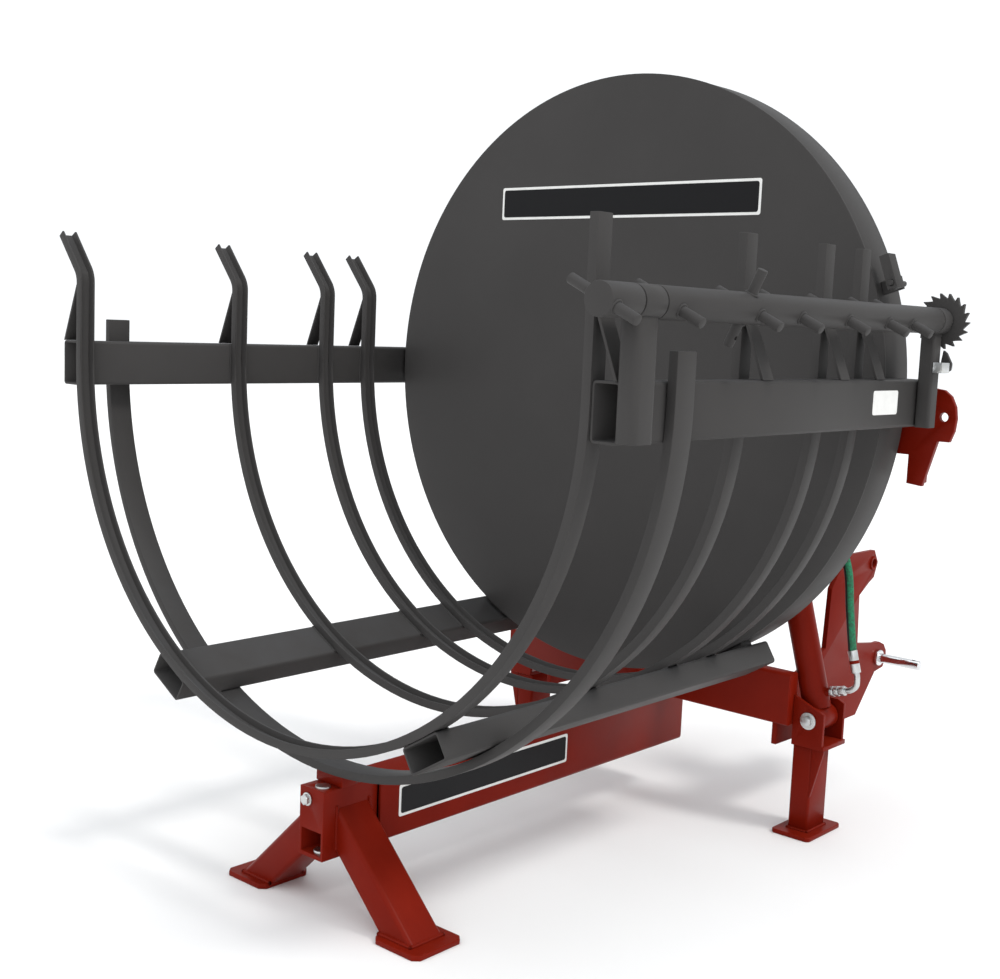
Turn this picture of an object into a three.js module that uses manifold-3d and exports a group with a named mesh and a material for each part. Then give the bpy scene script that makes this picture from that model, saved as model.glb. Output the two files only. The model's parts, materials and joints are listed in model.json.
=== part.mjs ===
// Three-point mounted firewood bundler: an open steel cradle with a round back plate,
// turned by a hydraulic cylinder on a red floor frame. Millimetres, +Z up,
// +X to the right seen from the open end, +Y towards the tractor.
import * as THREE from 'three';
import { mergeVertices } from 'three/addons/utils/BufferGeometryUtils.js';
import Module from 'manifold-3d';

const wasm = await Module();
wasm.setup();

// ---- driving dimensions -------------------------------------------------
const GAP = 0.3;                      // clearance between touching pieces
const ORIGIN = [-39.85, 151, 0];      // brings the overall box centre to X = Y = 0

const HUB_Z = 1229;                   // drum axis above the floor
const DISC_R = 800;
const DISC_T = 6;
const RIM_DEPTH = 120;
const RIM_T = 6;
const HUB_TUBE_R = 60;
const HUB_TUBE_END = 285;
const SPIDER_ARMS = 6;

const RIB_R = 811;                    // outer face of the channel ribs
const RIB_DEPTH = 20;
const RIB_WIDTH = 40;
const RIB_WALL = 5;
const RIB_Y = [-1118, -640, -322, -156];
const RIB_TIP = [-891, 301];          // outward bent left tip, from the drum axis
const RIB_BEND_Z = 203;
const RIB_RIGHT_Z = 329;
const BEND_EASE = 15;                 // start of the rounded bend, each way
const ARC_STEPS = 36;
const STRAP_RISE = 140;               // flat bar that braces a rib off a long tube
const STRAP_FOOT = 56;
const STRAP_T = 6.3;

const RAIL_IN = 811.3;                // inner face of the long tubes
const RAIL_T = 60;
const RAIL_H = 110;
const RAIL_WALL = 5;
const RAIL_Z = -13;
const RAIL_Y = [-1134, 58];
const LOWER_RAIL_Y = [-1134, 105];
const LOWER_ANGLES = [240.8, 301.6];

const HOOP_R = 875.2;
const HOOP_T = 20;
const HOOP_Y = [-1000, -940];
const HOOP_STUB = 97;

const SHAFT = [900, 1408];            // tension shaft axis, X and Z
const SHAFT_R = 30;
const JOURNAL_R = 19;
const PEG_R = 10;
const PEG_REACH = 78;
const PEG_TILT = -25;
const SHAFT_NEAR_Y = -1244;
const PEG_Y = [-1230, -1044, -785, -632, -440, -262, -146];
const CROSS_PEG_Y = -797;
const NEAR_POST_Y = [-1150, -1088];
const FAR_POST_Y = [15, 55];
const FAR_POST_X = [871.6, 907.6];
const JOURNAL_PLAY = 3;
const TEETH = 18;
const TOOTH_TIP_R = 65;
const TOOTH_ROOT_R = 52;
const RATCHET_Y = [62, 72];
const PAWL_PIVOT = [918, 1303];
const LATCH = [800, 1492];            // latch pin on the rim, X and Z
const LATCH_TILT = 18.2;

const BEAM_W = 100;
const BEAM_Z = [148, 304];
const BEAM_Y = [-868, 372];
const HEAD_W = 80;
const HEAD_Y = [-1035, -870];
const HEAD_BOLT = [-14, 277];
const PLUG_R = 18;
const PLUG_AT = [6, -1008];           // X and Y of the two plugs
const FOOT_T = 12;
const LEG_DEPTH = 100;
const FRONT_LEG_Y = -945;
const REAR_LEG_X = 498;
const REAR_LEG_Y = 340;
const CROSS_Y = [250, 295];
const CROSS_Z = [304.3, 450];
const CROSS_HALF = 467.7;
const LEG_CAP_X = [468.5, 566];
const LEG_CAP_Z = [250.3, 262];
const MAST_Y = [130, 249];
const HOUSING_R = 86;
const SIDE_X = [397.5, 412.5];
const LINK_PIN = [880, 389];
const LINK_HOLE = [808, 690, 20];
const LINK_PIN_R = 14.25;

const CYL_PIVOT = [515, 325];         // lower pivot, X and Z
const CYL_ANGLE = 106;                // degrees from +X, seen from the open end
const CYL_Y = 341;
const CYL_LEN = 1000;                 // pivot to rod eye when retracted
const BARREL_R = 38;
const BARREL_END = 720;
const PORT_AT = 66;                   // hose port, from the lower pivot
const HOSE_ASIDE = 66;                // hose end beside the barrel
const HOSE_END = 700;
const HOSE_R = 11.5;
const ROD_R = 20;
const LUG_R = 46;
const LUG_LEAN = 70;                  // degrees from +X

// ---- materials ----------------------------------------------------------
const GREY = { color: 0x4b4a4b, roughness: 0.45, metalness: 0.2 };
const RED = { color: 0x8c1c12, roughness: 0.4, metalness: 0.1 };
const ZINC = { color: 0xb9bdc2, roughness: 0.3, metalness: 0.9 };
const CHROME = { color: 0xd8dade, roughness: 0.12, metalness: 1.0 };
const RUBBER = { color: 0x1d1f1e, roughness: 0.7, metalness: 0.0 };

// ---- small helpers ------------------------------------------------------
const rad = (deg) => deg * Math.PI / 180;
const at = (r, deg) => [r * Math.cos(rad(deg)), r * Math.sin(rad(deg))];

function piece(name, geometry, finish) {
  const mesh = new THREE.Mesh(geometry, new THREE.MeshStandardMaterial(finish));
  mesh.name = name;
  return mesh;
}

function toSolid(geometry) {
  const bare = geometry.clone();
  bare.deleteAttribute('normal');
  bare.deleteAttribute('uv');
  const welded = mergeVertices(bare, 1e-3);
  const vertProperties = new Float32Array(welded.attributes.position.array);
  const triVerts = new Uint32Array(welded.index.array);
  return new wasm.Manifold(new wasm.Mesh({ numProp: 3, vertProperties, triVerts }));
}

function fromSolid(solid) {
  const mesh = solid.getMesh();
  const geometry = new THREE.BufferGeometry();
  geometry.setAttribute('position', new THREE.BufferAttribute(mesh.vertProperties, 3));
  geometry.setIndex(new THREE.BufferAttribute(mesh.triVerts, 1));
  geometry.computeVertexNormals();
  return geometry;
}

const union = (...parts) => parts.map(toSolid).reduce((a, b) => a.add(b));
const cut = (body, ...tools) => tools.map(toSolid).reduce((a, b) => a.subtract(b), body);

function block(x, y, z) {
  const geometry = new THREE.BoxGeometry(x[1] - x[0], y[1] - y[0], z[1] - z[0]);
  return geometry.translate((x[0] + x[1]) / 2, (y[0] + y[1]) / 2, (z[0] + z[1]) / 2);
}

function outline(points, holes = []) {
  const shape = new THREE.Shape(points.map(([u, v]) => new THREE.Vector2(u, v)));
  for (const [u, v, r] of holes) {
    const hole = new THREE.Path();
    hole.absarc(u, v, r, 0, 2 * Math.PI, true);
    shape.holes.push(hole);
  }
  return shape;
}

function extrude(shape, depth, segments = 10) {
  return new THREE.ExtrudeGeometry(shape, { depth, bevelEnabled: false, curveSegments: segments });
}

// profile drawn in X and Z, run along Y
function alongY(shape, y, segments = 10) {
  const geometry = extrude(shape, y[1] - y[0], segments);
  return geometry.rotateX(Math.PI / 2).translate(0, y[1], 0);
}

// profile drawn in Y and Z, run along X
function alongX(shape, x, segments = 10) {
  const geometry = extrude(shape, x[1] - x[0], segments);
  const basis = new THREE.Matrix4().makeBasis(
    new THREE.Vector3(0, 1, 0), new THREE.Vector3(0, 0, 1), new THREE.Vector3(1, 0, 0));
  return geometry.applyMatrix4(basis).translate(x[0], 0, 0);
}

function alongZ(shape, z, segments = 10) {
  return extrude(shape, z[1] - z[0], segments).translate(0, 0, z[0]);
}

function rodY(x, z, r, y, segments = 24) {
  const geometry = new THREE.CylinderGeometry(r, r, y[1] - y[0], segments);
  return geometry.translate(x, (y[0] + y[1]) / 2, z);
}

function rodX(y, z, r, x, segments = 24) {
  const geometry = new THREE.CylinderGeometry(r, r, x[1] - x[0], segments);
  return geometry.rotateZ(Math.PI / 2).translate((x[0] + x[1]) / 2, y, z);
}

function circle(r, n, x = 0, z = 0) {
  return Array.from({ length: n }, (_, i) => {
    const [u, v] = at(r, 360 * i / n);
    return [x + u, z + v];
  });
}

// round bar between two points in space
function bar(a, b, r, segments = 16) {
  const from = new THREE.Vector3(...a);
  const to = new THREE.Vector3(...b);
  const axis = to.clone().sub(from);
  const geometry = new THREE.CylinderGeometry(r, r, axis.length(), segments);
  const turn = new THREE.Quaternion().setFromUnitVectors(
    new THREE.Vector3(0, 1, 0), axis.clone().normalize());
  geometry.applyQuaternion(turn);
  return geometry.translate(...from.add(to).multiplyScalar(0.5).toArray());
}

const lift = (points, x = 0, z = HUB_Z) => points.map(([u, v]) => [u + x, v + z]);
const mirror = (points) => points.map(([u, v]) => [-u, v]).reverse();

// ---- drum ---------------------------------------------------------------
function discPlate() {
  const geometry = new THREE.CylinderGeometry(DISC_R, DISC_R, DISC_T, 96);
  return piece('disc_plate', geometry.translate(0, DISC_T / 2, HUB_Z), GREY);
}

function railPad(angle) {
  const pad = block([DISC_R - 3, RIB_R], [12, 58], [-38, 38]);
  return pad.rotateY(-rad(angle)).translate(0, 0, HUB_Z);
}

function discRim() {
  const y = [DISC_T + GAP, RIM_DEPTH];
  const ring = outline(lift(circle(DISC_R, 96)));
  ring.holes.push(new THREE.Path(lift(circle(DISC_R - RIM_T, 96)).reverse()
    .map(([u, v]) => new THREE.Vector2(u, v))));
  const pads = [0, 180, ...LOWER_ANGLES].map(railPad);
  return piece('disc_rim', fromSolid(union(alongY(ring, y), ...pads)), GREY);
}

function discSpider() {
  const y0 = DISC_T + GAP;
  const tube = new THREE.Shape(lift(circle(HUB_TUBE_R, 32)).map(([u, v]) => new THREE.Vector2(u, v)));
  tube.holes.push(new THREE.Path(lift(circle(HUB_TUBE_R - 14, 32)).reverse()
    .map(([u, v]) => new THREE.Vector2(u, v))));
  const parts = [alongY(tube, [y0, HUB_TUBE_END])];
  for (let i = 0; i < SPIDER_ARMS; i += 1) {
    const arm = block([HUB_TUBE_R - 5, DISC_R - RIM_T - 0.5], [y0, 62], [-4, 4]);
    parts.push(arm.rotateY(-rad(43.5 + i * 360 / SPIDER_ARMS)).translate(0, 0, HUB_Z));
  }
  return piece('disc_spider', fromSolid(union(...parts)), GREY);
}

function lugPlate(y, centre) {
  const [ux, uz] = at(1, LUG_LEAN);
  const points = [];
  for (let i = 0; i <= 12; i += 1) {
    const [u, v] = at(LUG_R, 160 + i * 15);
    points.push([centre[0] + u, centre[1] + v]);
  }
  const far = [centre[0] + 84 * ux, centre[1] + 84 * uz];
  points.push([far[0] + LUG_R * uz, far[1] - LUG_R * ux]);
  points.push([far[0] - LUG_R * uz, far[1] + LUG_R * ux]);
  return alongY(outline(points), y);
}

function cylinderLug() {
  const [cx, cz] = at(CYL_LEN, CYL_ANGLE);
  const centre = [CYL_PIVOT[0] + cx, CYL_PIVOT[1] + cz];
  const arm = block([-40, 40], [DISC_T + GAP, 306], [-38, 38]);
  arm.translate(centre[0] + 4, 0, centre[1] + 6);
  const bridge = block([72, 83], [305, 377], [-44, 44]);
  bridge.rotateY(-rad(LUG_LEAN)).translate(centre[0], 0, centre[1]);
  const head = rodY(centre[0], centre[1], 22, [381, 395], 6);
  const plates = [lugPlate([300, 312], centre), lugPlate([370, 382], centre)];
  return piece('cylinder_lug', fromSolid(union(arm, bridge, head, ...plates)), GREY);
}

function ribLine() {
  const lean = new THREE.Vector2(RIB_TIP[0] + RIB_R, RIB_TIP[1] - RIB_BEND_Z).normalize();
  const line = [
    RIB_TIP, [-RIB_R + BEND_EASE * lean.x, RIB_BEND_Z + BEND_EASE * lean.y],
    [-RIB_R, RIB_BEND_Z - BEND_EASE]];
  for (let i = 0; i <= ARC_STEPS; i += 1) line.push(at(RIB_R, 180 + i * 180 / ARC_STEPS));
  line.push([RIB_R, RIB_RIGHT_Z]);
  return line;
}

// parallel line, offset to the left of the running direction
function offset(line, distance) {
  const normal = (a, b) => {
    const length = Math.hypot(b[0] - a[0], b[1] - a[1]);
    return [-(b[1] - a[1]) / length, (b[0] - a[0]) / length];
  };
  return line.map((p, i) => {
    const n1 = i > 0 ? normal(line[i - 1], p) : normal(p, line[i + 1]);
    const n2 = i < line.length - 1 ? normal(p, line[i + 1]) : n1;
    const scale = distance / (1 + n1[0] * n2[0] + n1[1] * n2[1]);
    return [p[0] + scale * (n1[0] + n2[0]), p[1] + scale * (n1[1] + n2[1])];
  });
}

function stretch(line, extra) {
  const push = (a, b) => {
    const length = Math.hypot(b[0] - a[0], b[1] - a[1]);
    return [b[0] + extra * (b[0] - a[0]) / length, b[1] + extra * (b[1] - a[1]) / length];
  };
  const last = line.length - 1;
  return [push(line[1], line[0]), ...line.slice(1, last), push(line[last - 1], line[last])];
}

function band(line, near, far, y) {
  const loop = [...offset(line, near), ...offset(line, far).reverse()];
  return alongY(outline(lift(loop)), y);
}

function rib(index) {
  const y = RIB_Y[index];
  const half = RIB_WIDTH / 2;
  const full = toSolid(band(ribLine(), 0, RIB_DEPTH, [y - half, y + half]));
  const inner = half - RIB_WALL;
  const groove = band(stretch(ribLine(), 6), RIB_WALL, RIB_DEPTH + 2, [y - inner, y + inner]);
  return piece(`rib_${index + 1}`, fromSolid(cut(full, groove)), GREY);
}

function hollowRect(u, v, wall) {
  const shape = outline([[u[0], v[0]], [u[1], v[0]], [u[1], v[1]], [u[0], v[1]]]);
  shape.holes.push(new THREE.Path([
    new THREE.Vector2(u[0] + wall, v[0] + wall), new THREE.Vector2(u[0] + wall, v[1] - wall),
    new THREE.Vector2(u[1] - wall, v[1] - wall), new THREE.Vector2(u[1] - wall, v[0] + wall)]));
  return shape;
}

function sideRail(name, side) {
  const x = side > 0 ? [RAIL_IN, RAIL_IN + RAIL_T] : [-RAIL_IN - RAIL_T, -RAIL_IN];
  const z = [HUB_Z + RAIL_Z - RAIL_H / 2, HUB_Z + RAIL_Z + RAIL_H / 2];
  return piece(name, alongY(hollowRect(x, z, RAIL_WALL), RAIL_Y), GREY);
}

function lowerRail(name, angle) {
  const shape = hollowRect([RAIL_IN, RAIL_IN + RAIL_T], [-RAIL_H / 2, RAIL_H / 2], RAIL_WALL);
  const geometry = alongY(shape, LOWER_RAIL_Y).rotateY(-rad(angle));
  return piece(name, geometry.translate(0, 0, HUB_Z), GREY);
}

function trackHoop() {
  const line = [[-HOOP_R, HOOP_STUB]];
  for (let i = 0; i <= ARC_STEPS; i += 1) line.push(at(HOOP_R, 180 + i * 180 / ARC_STEPS));
  line.push([HOOP_R, HOOP_STUB]);
  return piece('track_hoop', band(line, -HOOP_T, 0, HOOP_Y), GREY);
}

// inclined flat bar from the top of a long tube up to a rib
function strap(name, index, side) {
  const half = RIB_WIDTH / 2;
  const z = HUB_Z + RAIL_Z + RAIL_H / 2 + GAP;
  const x = RIB_R + GAP;
  const points = [
    [x, z + STRAP_RISE - STRAP_T * STRAP_RISE / STRAP_FOOT], [x + STRAP_FOOT - STRAP_T, z],
    [x + STRAP_FOOT, z], [x, z + STRAP_RISE]];
  const shape = outline(side > 0 ? points : mirror(points));
  return piece(name, alongY(shape, [RIB_Y[index] - half, RIB_Y[index] + half]), GREY);
}

const leftGusset = (index) => strap(`left_gusset_${index + 1}`, index, -1);
const rightGusset = (index) => strap(`right_gusset_${index + 1}`, index, 1);

function shaftPost(name, y, x, bottom) {
  const top = SHAFT[1] - 12;
  const post = block(x, y, [bottom, top]);
  const sleeve = rodY(SHAFT[0], SHAFT[1], SHAFT_R, y);
  const bore = rodY(SHAFT[0], SHAFT[1], JOURNAL_R + 1.5, [y[0] - 5, y[1] + 5]);
  return piece(name, fromSolid(cut(union(post, sleeve), bore)), GREY);
}

// ---- tension shaft ------------------------------------------------------
function tensionShaft() {
  const near = NEAR_POST_Y;
  const far = FAR_POST_Y;
  const profile = [
    [0, SHAFT_NEAR_Y], [SHAFT_R, SHAFT_NEAR_Y], [SHAFT_R, near[0] - JOURNAL_PLAY],
    [JOURNAL_R, near[0] - JOURNAL_PLAY], [JOURNAL_R, near[1] + JOURNAL_PLAY],
    [SHAFT_R, near[1] + JOURNAL_PLAY], [SHAFT_R, far[0] - JOURNAL_PLAY],
    [JOURNAL_R, far[0] - JOURNAL_PLAY],
    [JOURNAL_R, RATCHET_Y[1] + 12], [0, RATCHET_Y[1] + 12]];
  const turned = profile.map(([r, y]) => new THREE.Vector2(r, y));
  const spindle = new THREE.LatheGeometry(turned, 24).translate(SHAFT[0], 0, SHAFT[1]);
  const pegs = [...PEG_Y.map((y) => [y, PEG_TILT]), [CROSS_PEG_Y, PEG_TILT + 90]].map(([y, tilt]) => {
    const [u, v] = at(PEG_REACH, tilt);
    return bar([SHAFT[0] - u, y, SHAFT[1] - v], [SHAFT[0] + u, y, SHAFT[1] + v], PEG_R, 12);
  });
  return piece('tension_shaft', fromSolid(union(spindle, ...pegs)), GREY);
}

function ratchetWheel() {
  const points = [];
  for (let i = 0; i < TEETH; i += 1) {
    const step = 360 / TEETH;
    points.push(at(TOOTH_ROOT_R, i * step));
    points.push(at(TOOTH_TIP_R, i * step + step * 0.95));
  }
  const wheel = outline(lift(points, SHAFT[0], SHAFT[1]), [[SHAFT[0], SHAFT[1], JOURNAL_R + GAP]]);
  return piece('ratchet_wheel', alongY(wheel, RATCHET_Y, 12), GREY);
}

function pawl() {
  const [px, pz] = PAWL_PIVOT;
  const tip = at(TOOTH_TIP_R + 3, -80);
  const points = [
    [px + 10, pz - 8], [px + 12, pz + 8], [SHAFT[0] + tip[0] + 5, SHAFT[1] + tip[1] - 6],
    [SHAFT[0] + tip[0] - 3, SHAFT[1] + tip[1]], [px - 13, pz + 12], [px - 12, pz - 8], [px, pz - 13]];
  return piece('pawl', alongY(outline(points, [[px, pz, 6.5]]), RATCHET_Y, 8), GREY);
}

function pawlBolt() {
  const [px, pz] = PAWL_PIVOT;
  const clearance = block([FAR_POST_X[0] - 20, FAR_POST_X[1] + GAP], [0, 73], [1100, 1500]);
  const plate = block([FAR_POST_X[1] - 4, px + 12], FAR_POST_Y, [pz - 14, pz + 10]);
  const pin = rodY(px, pz, 6, [FAR_POST_Y[1] - 4, 74], 12);
  const head = rodY(px, pz, 10, [73.5, 80], 6);
  return piece('pawl_bolt', fromSolid(cut(union(plate, pin, head), clearance)), ZINC);
}

// ---- latch on the rim ---------------------------------------------------
function latchBracket() {
  const plate = block([DISC_R + GAP, DISC_R + 52], [30, 38], [-16, 16]);
  plate.rotateY(-rad(LATCH_TILT)).translate(0, 0, HUB_Z);
  const pin = rodY(LATCH[0], LATCH[1], 7, [-12, 62], 12);
  return piece('latch_bracket', fromSolid(union(plate, pin)), GREY);
}

function latchLever() {
  const lever = block([-2, 22], [-8, 28], [-14, 68]);
  const bore = rodY(0, 0, 8, [-20, 40], 12);
  const solid = cut(toSolid(lever.translate(-10, 0, 0)), bore);
  const geometry = fromSolid(solid).rotateY(-rad(20)).translate(LATCH[0], 0, LATCH[1]);
  return piece('latch_lever', geometry, GREY);
}

// ---- red floor frame ----------------------------------------------------
function mainBeam() {
  const profile = hollowRect([-BEAM_W / 2, BEAM_W / 2], BEAM_Z, 8);
  return piece('main_beam', alongY(profile, BEAM_Y), RED);
}

function plugDisc(radius, z) {
  const plug = new THREE.CylinderGeometry(radius, radius, z[1] - z[0], 24);
  return plug.rotateX(Math.PI / 2).translate(...PLUG_AT, (z[0] + z[1]) / 2);
}

function headBox() {
  const half = HEAD_W / 2;
  const body = toSolid(block([-half, half], HEAD_Y, [143, BEAM_Z[1]]));
  const pocket = block([-half + 7, half - 7], [HEAD_Y[0] - 5, HEAD_Y[0] + 130], [152, 207]);
  const plugs = [[BEAM_Z[1] - 8, BEAM_Z[1] + 5], [140, 160]].map((z) => {
    return plugDisc(PLUG_R + GAP, z);
  });
  const bolt = rodY(...HEAD_BOLT, 7 + GAP, [HEAD_Y[0] - 5, HEAD_Y[0] + 14], 12);
  return piece('head_box', fromSolid(cut(body, pocket, bolt, ...plugs)), RED);
}

const headPlug = (name, z) => piece(name, plugDisc(PLUG_R, z), ZINC);

function headBolt() {
  const face = HEAD_Y[0];
  const washer = rodY(...HEAD_BOLT, 15, [face - 3, face - GAP], 24);
  const head = rodY(...HEAD_BOLT, 12, [face - 12, face - 2.5], 6);
  const shank = rodY(...HEAD_BOLT, 7, [face - 4, face + 13], 12);
  return piece('head_bolt', fromSolid(union(washer, head, shank)), ZINC);
}

function hoopSaddle() {
  const reach = HOOP_R + HOOP_T + 1;
  const points = [[-44, BEAM_Z[1] + GAP], [44, BEAM_Z[1] + GAP]];
  for (let i = 0; i <= 6; i += 1) {
    const [u, v] = at(reach, 272.8 - i * 5.6 / 6);
    points.push([u, HUB_Z + v]);
  }
  return piece('hoop_saddle', alongY(outline(points), [HOOP_Y[0] + 15, HOOP_Y[1] - 2]), RED);
}

function frontLeg(name, side) {
  const start = HEAD_W / 2 + GAP;
  const floor = FOOT_T + GAP;
  const outer = [[start, 267], [start, 158], [189, floor], [287, floor]];
  const inner = [[start - 5, 256], [start - 5, 172], [186, floor + 9], [272, floor + 9]];
  const turn = side > 0 ? (p) => p : mirror;
  const y = [FRONT_LEG_Y - LEG_DEPTH / 2, FRONT_LEG_Y + LEG_DEPTH / 2];
  const shell = toSolid(alongY(outline(turn(outer)), y));
  const hollow = alongY(outline(turn(inner)), [y[0] + 6, y[1] - 6]);
  return piece(name, fromSolid(cut(shell, hollow)), RED);
}

function footPlate(name, x, y, corner) {
  const points = [
    [x[0] + corner, y[0]], [x[1] - corner, y[0]], [x[1], y[0] + corner], [x[1], y[1] - corner],
    [x[1] - corner, y[1]], [x[0] + corner, y[1]], [x[0], y[1] - corner], [x[0], y[0] + corner]];
  return piece(name, alongZ(outline(points), [0, FOOT_T]), RED);
}

function rearCrossbeam() {
  const profile = hollowRect(CROSS_Y, CROSS_Z, 6);
  return piece('rear_crossbeam', alongX(profile, [-CROSS_HALF, CROSS_HALF]), RED);
}

function sidePlate(name, side) {
  const y0 = CROSS_Y[1] + GAP;
  const points = [
    [y0, 232], [646, 228], [763, 229], [872, 345], [925, 352], [942, 380], [940, 402],
    [922, 424], [890, 436], [862, 436], [745, 452], [735, 600], [790, 632], [820, 646],
    [839, 690], [813, 729], [640, 730], [560, 640], [548, 466], [400, 420], [y0, 420]];
  const shape = outline(points, [LINK_HOLE]);
  const x = side > 0 ? SIDE_X : [-SIDE_X[1], -SIDE_X[0]];
  return piece(name, alongX(shape, x, 16), RED);
}

function linkPin(name, side) {
  const inner = SIDE_X[1] + GAP;
  const flip = (x) => (side > 0 ? x : [-x[1], -x[0]]);
  const collar = rodX(LINK_PIN[0], LINK_PIN[1], 24, flip([inner, inner + 12]));
  const pin = rodX(LINK_PIN[0], LINK_PIN[1], LINK_PIN_R, flip([inner + 10, inner + 140]));
  return piece(name, fromSolid(union(collar, pin)), CHROME);
}

function rearLeg(name, side) {
  const x = [REAR_LEG_X - 30, REAR_LEG_X + 30];
  const y = [REAR_LEG_Y - LEG_DEPTH / 2, REAR_LEG_Y + LEG_DEPTH / 2];
  const flip = (pair) => (side > 0 ? pair : [-pair[1], -pair[0]]);
  const post = block(flip(x), y, [FOOT_T + GAP, 250]);
  const hollow = block(flip([x[0] + 5, x[1] - 5]), [y[0] + 5, y[1] - 5], [FOOT_T + 8, 260]);
  const fin = [[x[1] - 2, 249.9], [x[1] + 32, 249.9], [x[1] + 32, 240], [x[1] - 2, 103]];
  const shape = outline(side > 0 ? fin : mirror(fin));
  const body = cut(toSolid(post), hollow);
  const web = alongY(shape, [REAR_LEG_Y - 49.5, REAR_LEG_Y - 39.5]);
  return piece(name, fromSolid(body.add(toSolid(web))), RED);
}

function legCap(side) {
  const flip = (pair) => (side > 0 ? pair : [-pair[1], -pair[0]]);
  return block(flip(LEG_CAP_X), [REAR_LEG_Y - 60, REAR_LEG_Y + 62], LEG_CAP_Z);
}

function cylinderClevis() {
  const bore = [CYL_PIVOT[0], CYL_PIVOT[1], 14.5];
  const front = [[468.5, 255], [560, 255], [560, 350], [505, 372], [468.5, 388]];
  const rear = [[468.5, 255], [560, 255], [560, 362], [540, 372], [468.5, 372]];
  const plates = [
    alongY(outline(front, [bore]), [280, 290]),
    alongY(outline(rear, [bore]), [392, 402])];
  return piece('cylinder_clevis', fromSolid(union(legCap(1), ...plates)), RED);
}

function leftLegCap() {
  const plate = block([-560, -468.5], [280, 290], [255, 388]);
  return piece('left_leg_cap', fromSolid(union(legCap(-1), plate)), RED);
}

function clevisPin() {
  const [x, z] = CYL_PIVOT;
  const parts = [rodY(x, z, 14, [272, 416]), rodY(x, z, 24, [275, 279.7]), rodY(x, z, 20, [405, 412])];
  return piece('clevis_pin', fromSolid(union(...parts)), ZINC);
}

function mast() {
  const column = toSolid(alongZ(hollowRect([-60, 60], MAST_Y, 8), [BEAM_Z[1] + GAP, 1196]));
  const seat = rodY(0, HUB_Z, HOUSING_R + GAP, [120, 285], 32);
  return piece('mast', fromSolid(cut(column, seat)), RED);
}

function hubHousing() {
  const ring = new THREE.Shape(lift(circle(HOUSING_R, 32)).map(([u, v]) => new THREE.Vector2(u, v)));
  ring.holes.push(new THREE.Path(lift(circle(HUB_TUBE_R + 1, 32)).reverse()
    .map(([u, v]) => new THREE.Vector2(u, v))));
  return piece('hub_housing', alongY(ring, [130, 275]), RED);
}

function topLinkBracket() {
  const hole = [790, 1030, 13];
  const points = [
    [CROSS_Y[1] + GAP, 452], [420, 452], [700, 900], [826, 1000], [832, 1034], [812, 1062],
    [770, 1068], [CROSS_Y[1] + GAP, 1040]];
  const shape = outline(points, [hole]);
  const back = block([-52, 52], [252, CROSS_Y[1] + 6], [452, 1040]);
  const cheeks = [alongX(shape, [-52, -40], 12), alongX(shape, [40, 52], 12)];
  return piece('top_link_bracket', fromSolid(union(back, ...cheeks)), RED);
}

function stopBracket() {
  const points = [
    [760, 1085], [806, 1085], [806, 1015], [845, 1011], [876, 1123], [905, 1123], [915, 1150],
    [918, 1180], [914, 1208], [902, 1232], [884, 1246], [862, 1249], [760, 1249]];
  const plate = alongY(outline(points, [[888, 1182, 11]]), [142, 156]);
  const arm = block([60.3, 800], [155, 215], [1092, 1160]);
  const web = block([806, 830], [155, 205], [1015, 1150]);
  const inside = block([50, 790], [161, 209], [1098, 1154]);
  return piece('stop_bracket', fromSolid(cut(union(plate, arm, web), inside)), RED);
}

// ---- hydraulic cylinder -------------------------------------------------
const cylPoint = (distance, aside = 0) => {
  const [u, v] = at(1, CYL_ANGLE);
  return [CYL_PIVOT[0] + distance * u + aside * v, CYL_PIVOT[1] + distance * v - aside * u];
};
const cylAt = (distance, aside = 0, y = CYL_Y) => {
  const [x, z] = cylPoint(distance, aside);
  return [x, y, z];
};

function cylinderBarrel() {
  const body = bar(cylAt(20), cylAt(BARREL_END), BARREL_R, 32);
  const eye = rodY(CYL_PIVOT[0], CYL_PIVOT[1], 34, [CYL_Y - 44, CYL_Y + 44]);
  const gland = bar(cylAt(BARREL_END - 1), cylAt(BARREL_END + 22), BARREL_R - 4, 32);
  const port = bar(cylAt(PORT_AT), cylAt(PORT_AT, 48), 12, 16);
  const clamp = bar(cylAt(HOSE_END - 50, 30), cylAt(HOSE_END - 50, 52), 10, 8);
  const bore = bar(cylAt(300), cylAt(BARREL_END + 30), ROD_R + 1, 24);
  const pin = rodY(CYL_PIVOT[0], CYL_PIVOT[1], 15, [CYL_Y - 60, CYL_Y + 60]);
  const solid = cut(union(body, eye, gland, port, clamp), bore, pin);
  return piece('cylinder_barrel', fromSolid(solid), RED);
}

function pistonRod() {
  const rod = bar(cylAt(320), cylAt(CYL_LEN - 25), ROD_R, 24);
  const eye = rodY(...cylPoint(CYL_LEN), 32, [CYL_Y - 25, CYL_Y + 25]);
  return piece('piston_rod', fromSolid(union(rod, eye)), CHROME);
}

function hosePath() {
  const points = [
    cylAt(111, 135.5), cylAt(161, 135.6), cylAt(280, 151), cylAt(392, 167), cylAt(500, 150),
    cylAt(580, 105), cylAt(650, HOSE_ASIDE), cylAt(HOSE_END, HOSE_ASIDE)];
  return new THREE.CatmullRomCurve3(points.map((p) => new THREE.Vector3(...p)));
}

function hoseFitting() {
  const nut = bar(cylAt(PORT_AT, 48.3), cylAt(PORT_AT, 94), 15, 6);
  const points = [
    cylAt(PORT_AT, 92), cylAt(PORT_AT, 110), cylAt(76, 128), cylAt(98, 135.3), cylAt(110.5, 135.5)];
  const bend = new THREE.CatmullRomCurve3(points.map((p) => new THREE.Vector3(...p)));
  const profile = new THREE.Shape(circle(8, 10).map(([u, v]) => new THREE.Vector2(u, v)));
  const elbow = new THREE.ExtrudeGeometry(profile, { steps: 8, extrudePath: bend });
  return piece('hose_fitting', fromSolid(union(nut, elbow)), ZINC);
}

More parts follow.
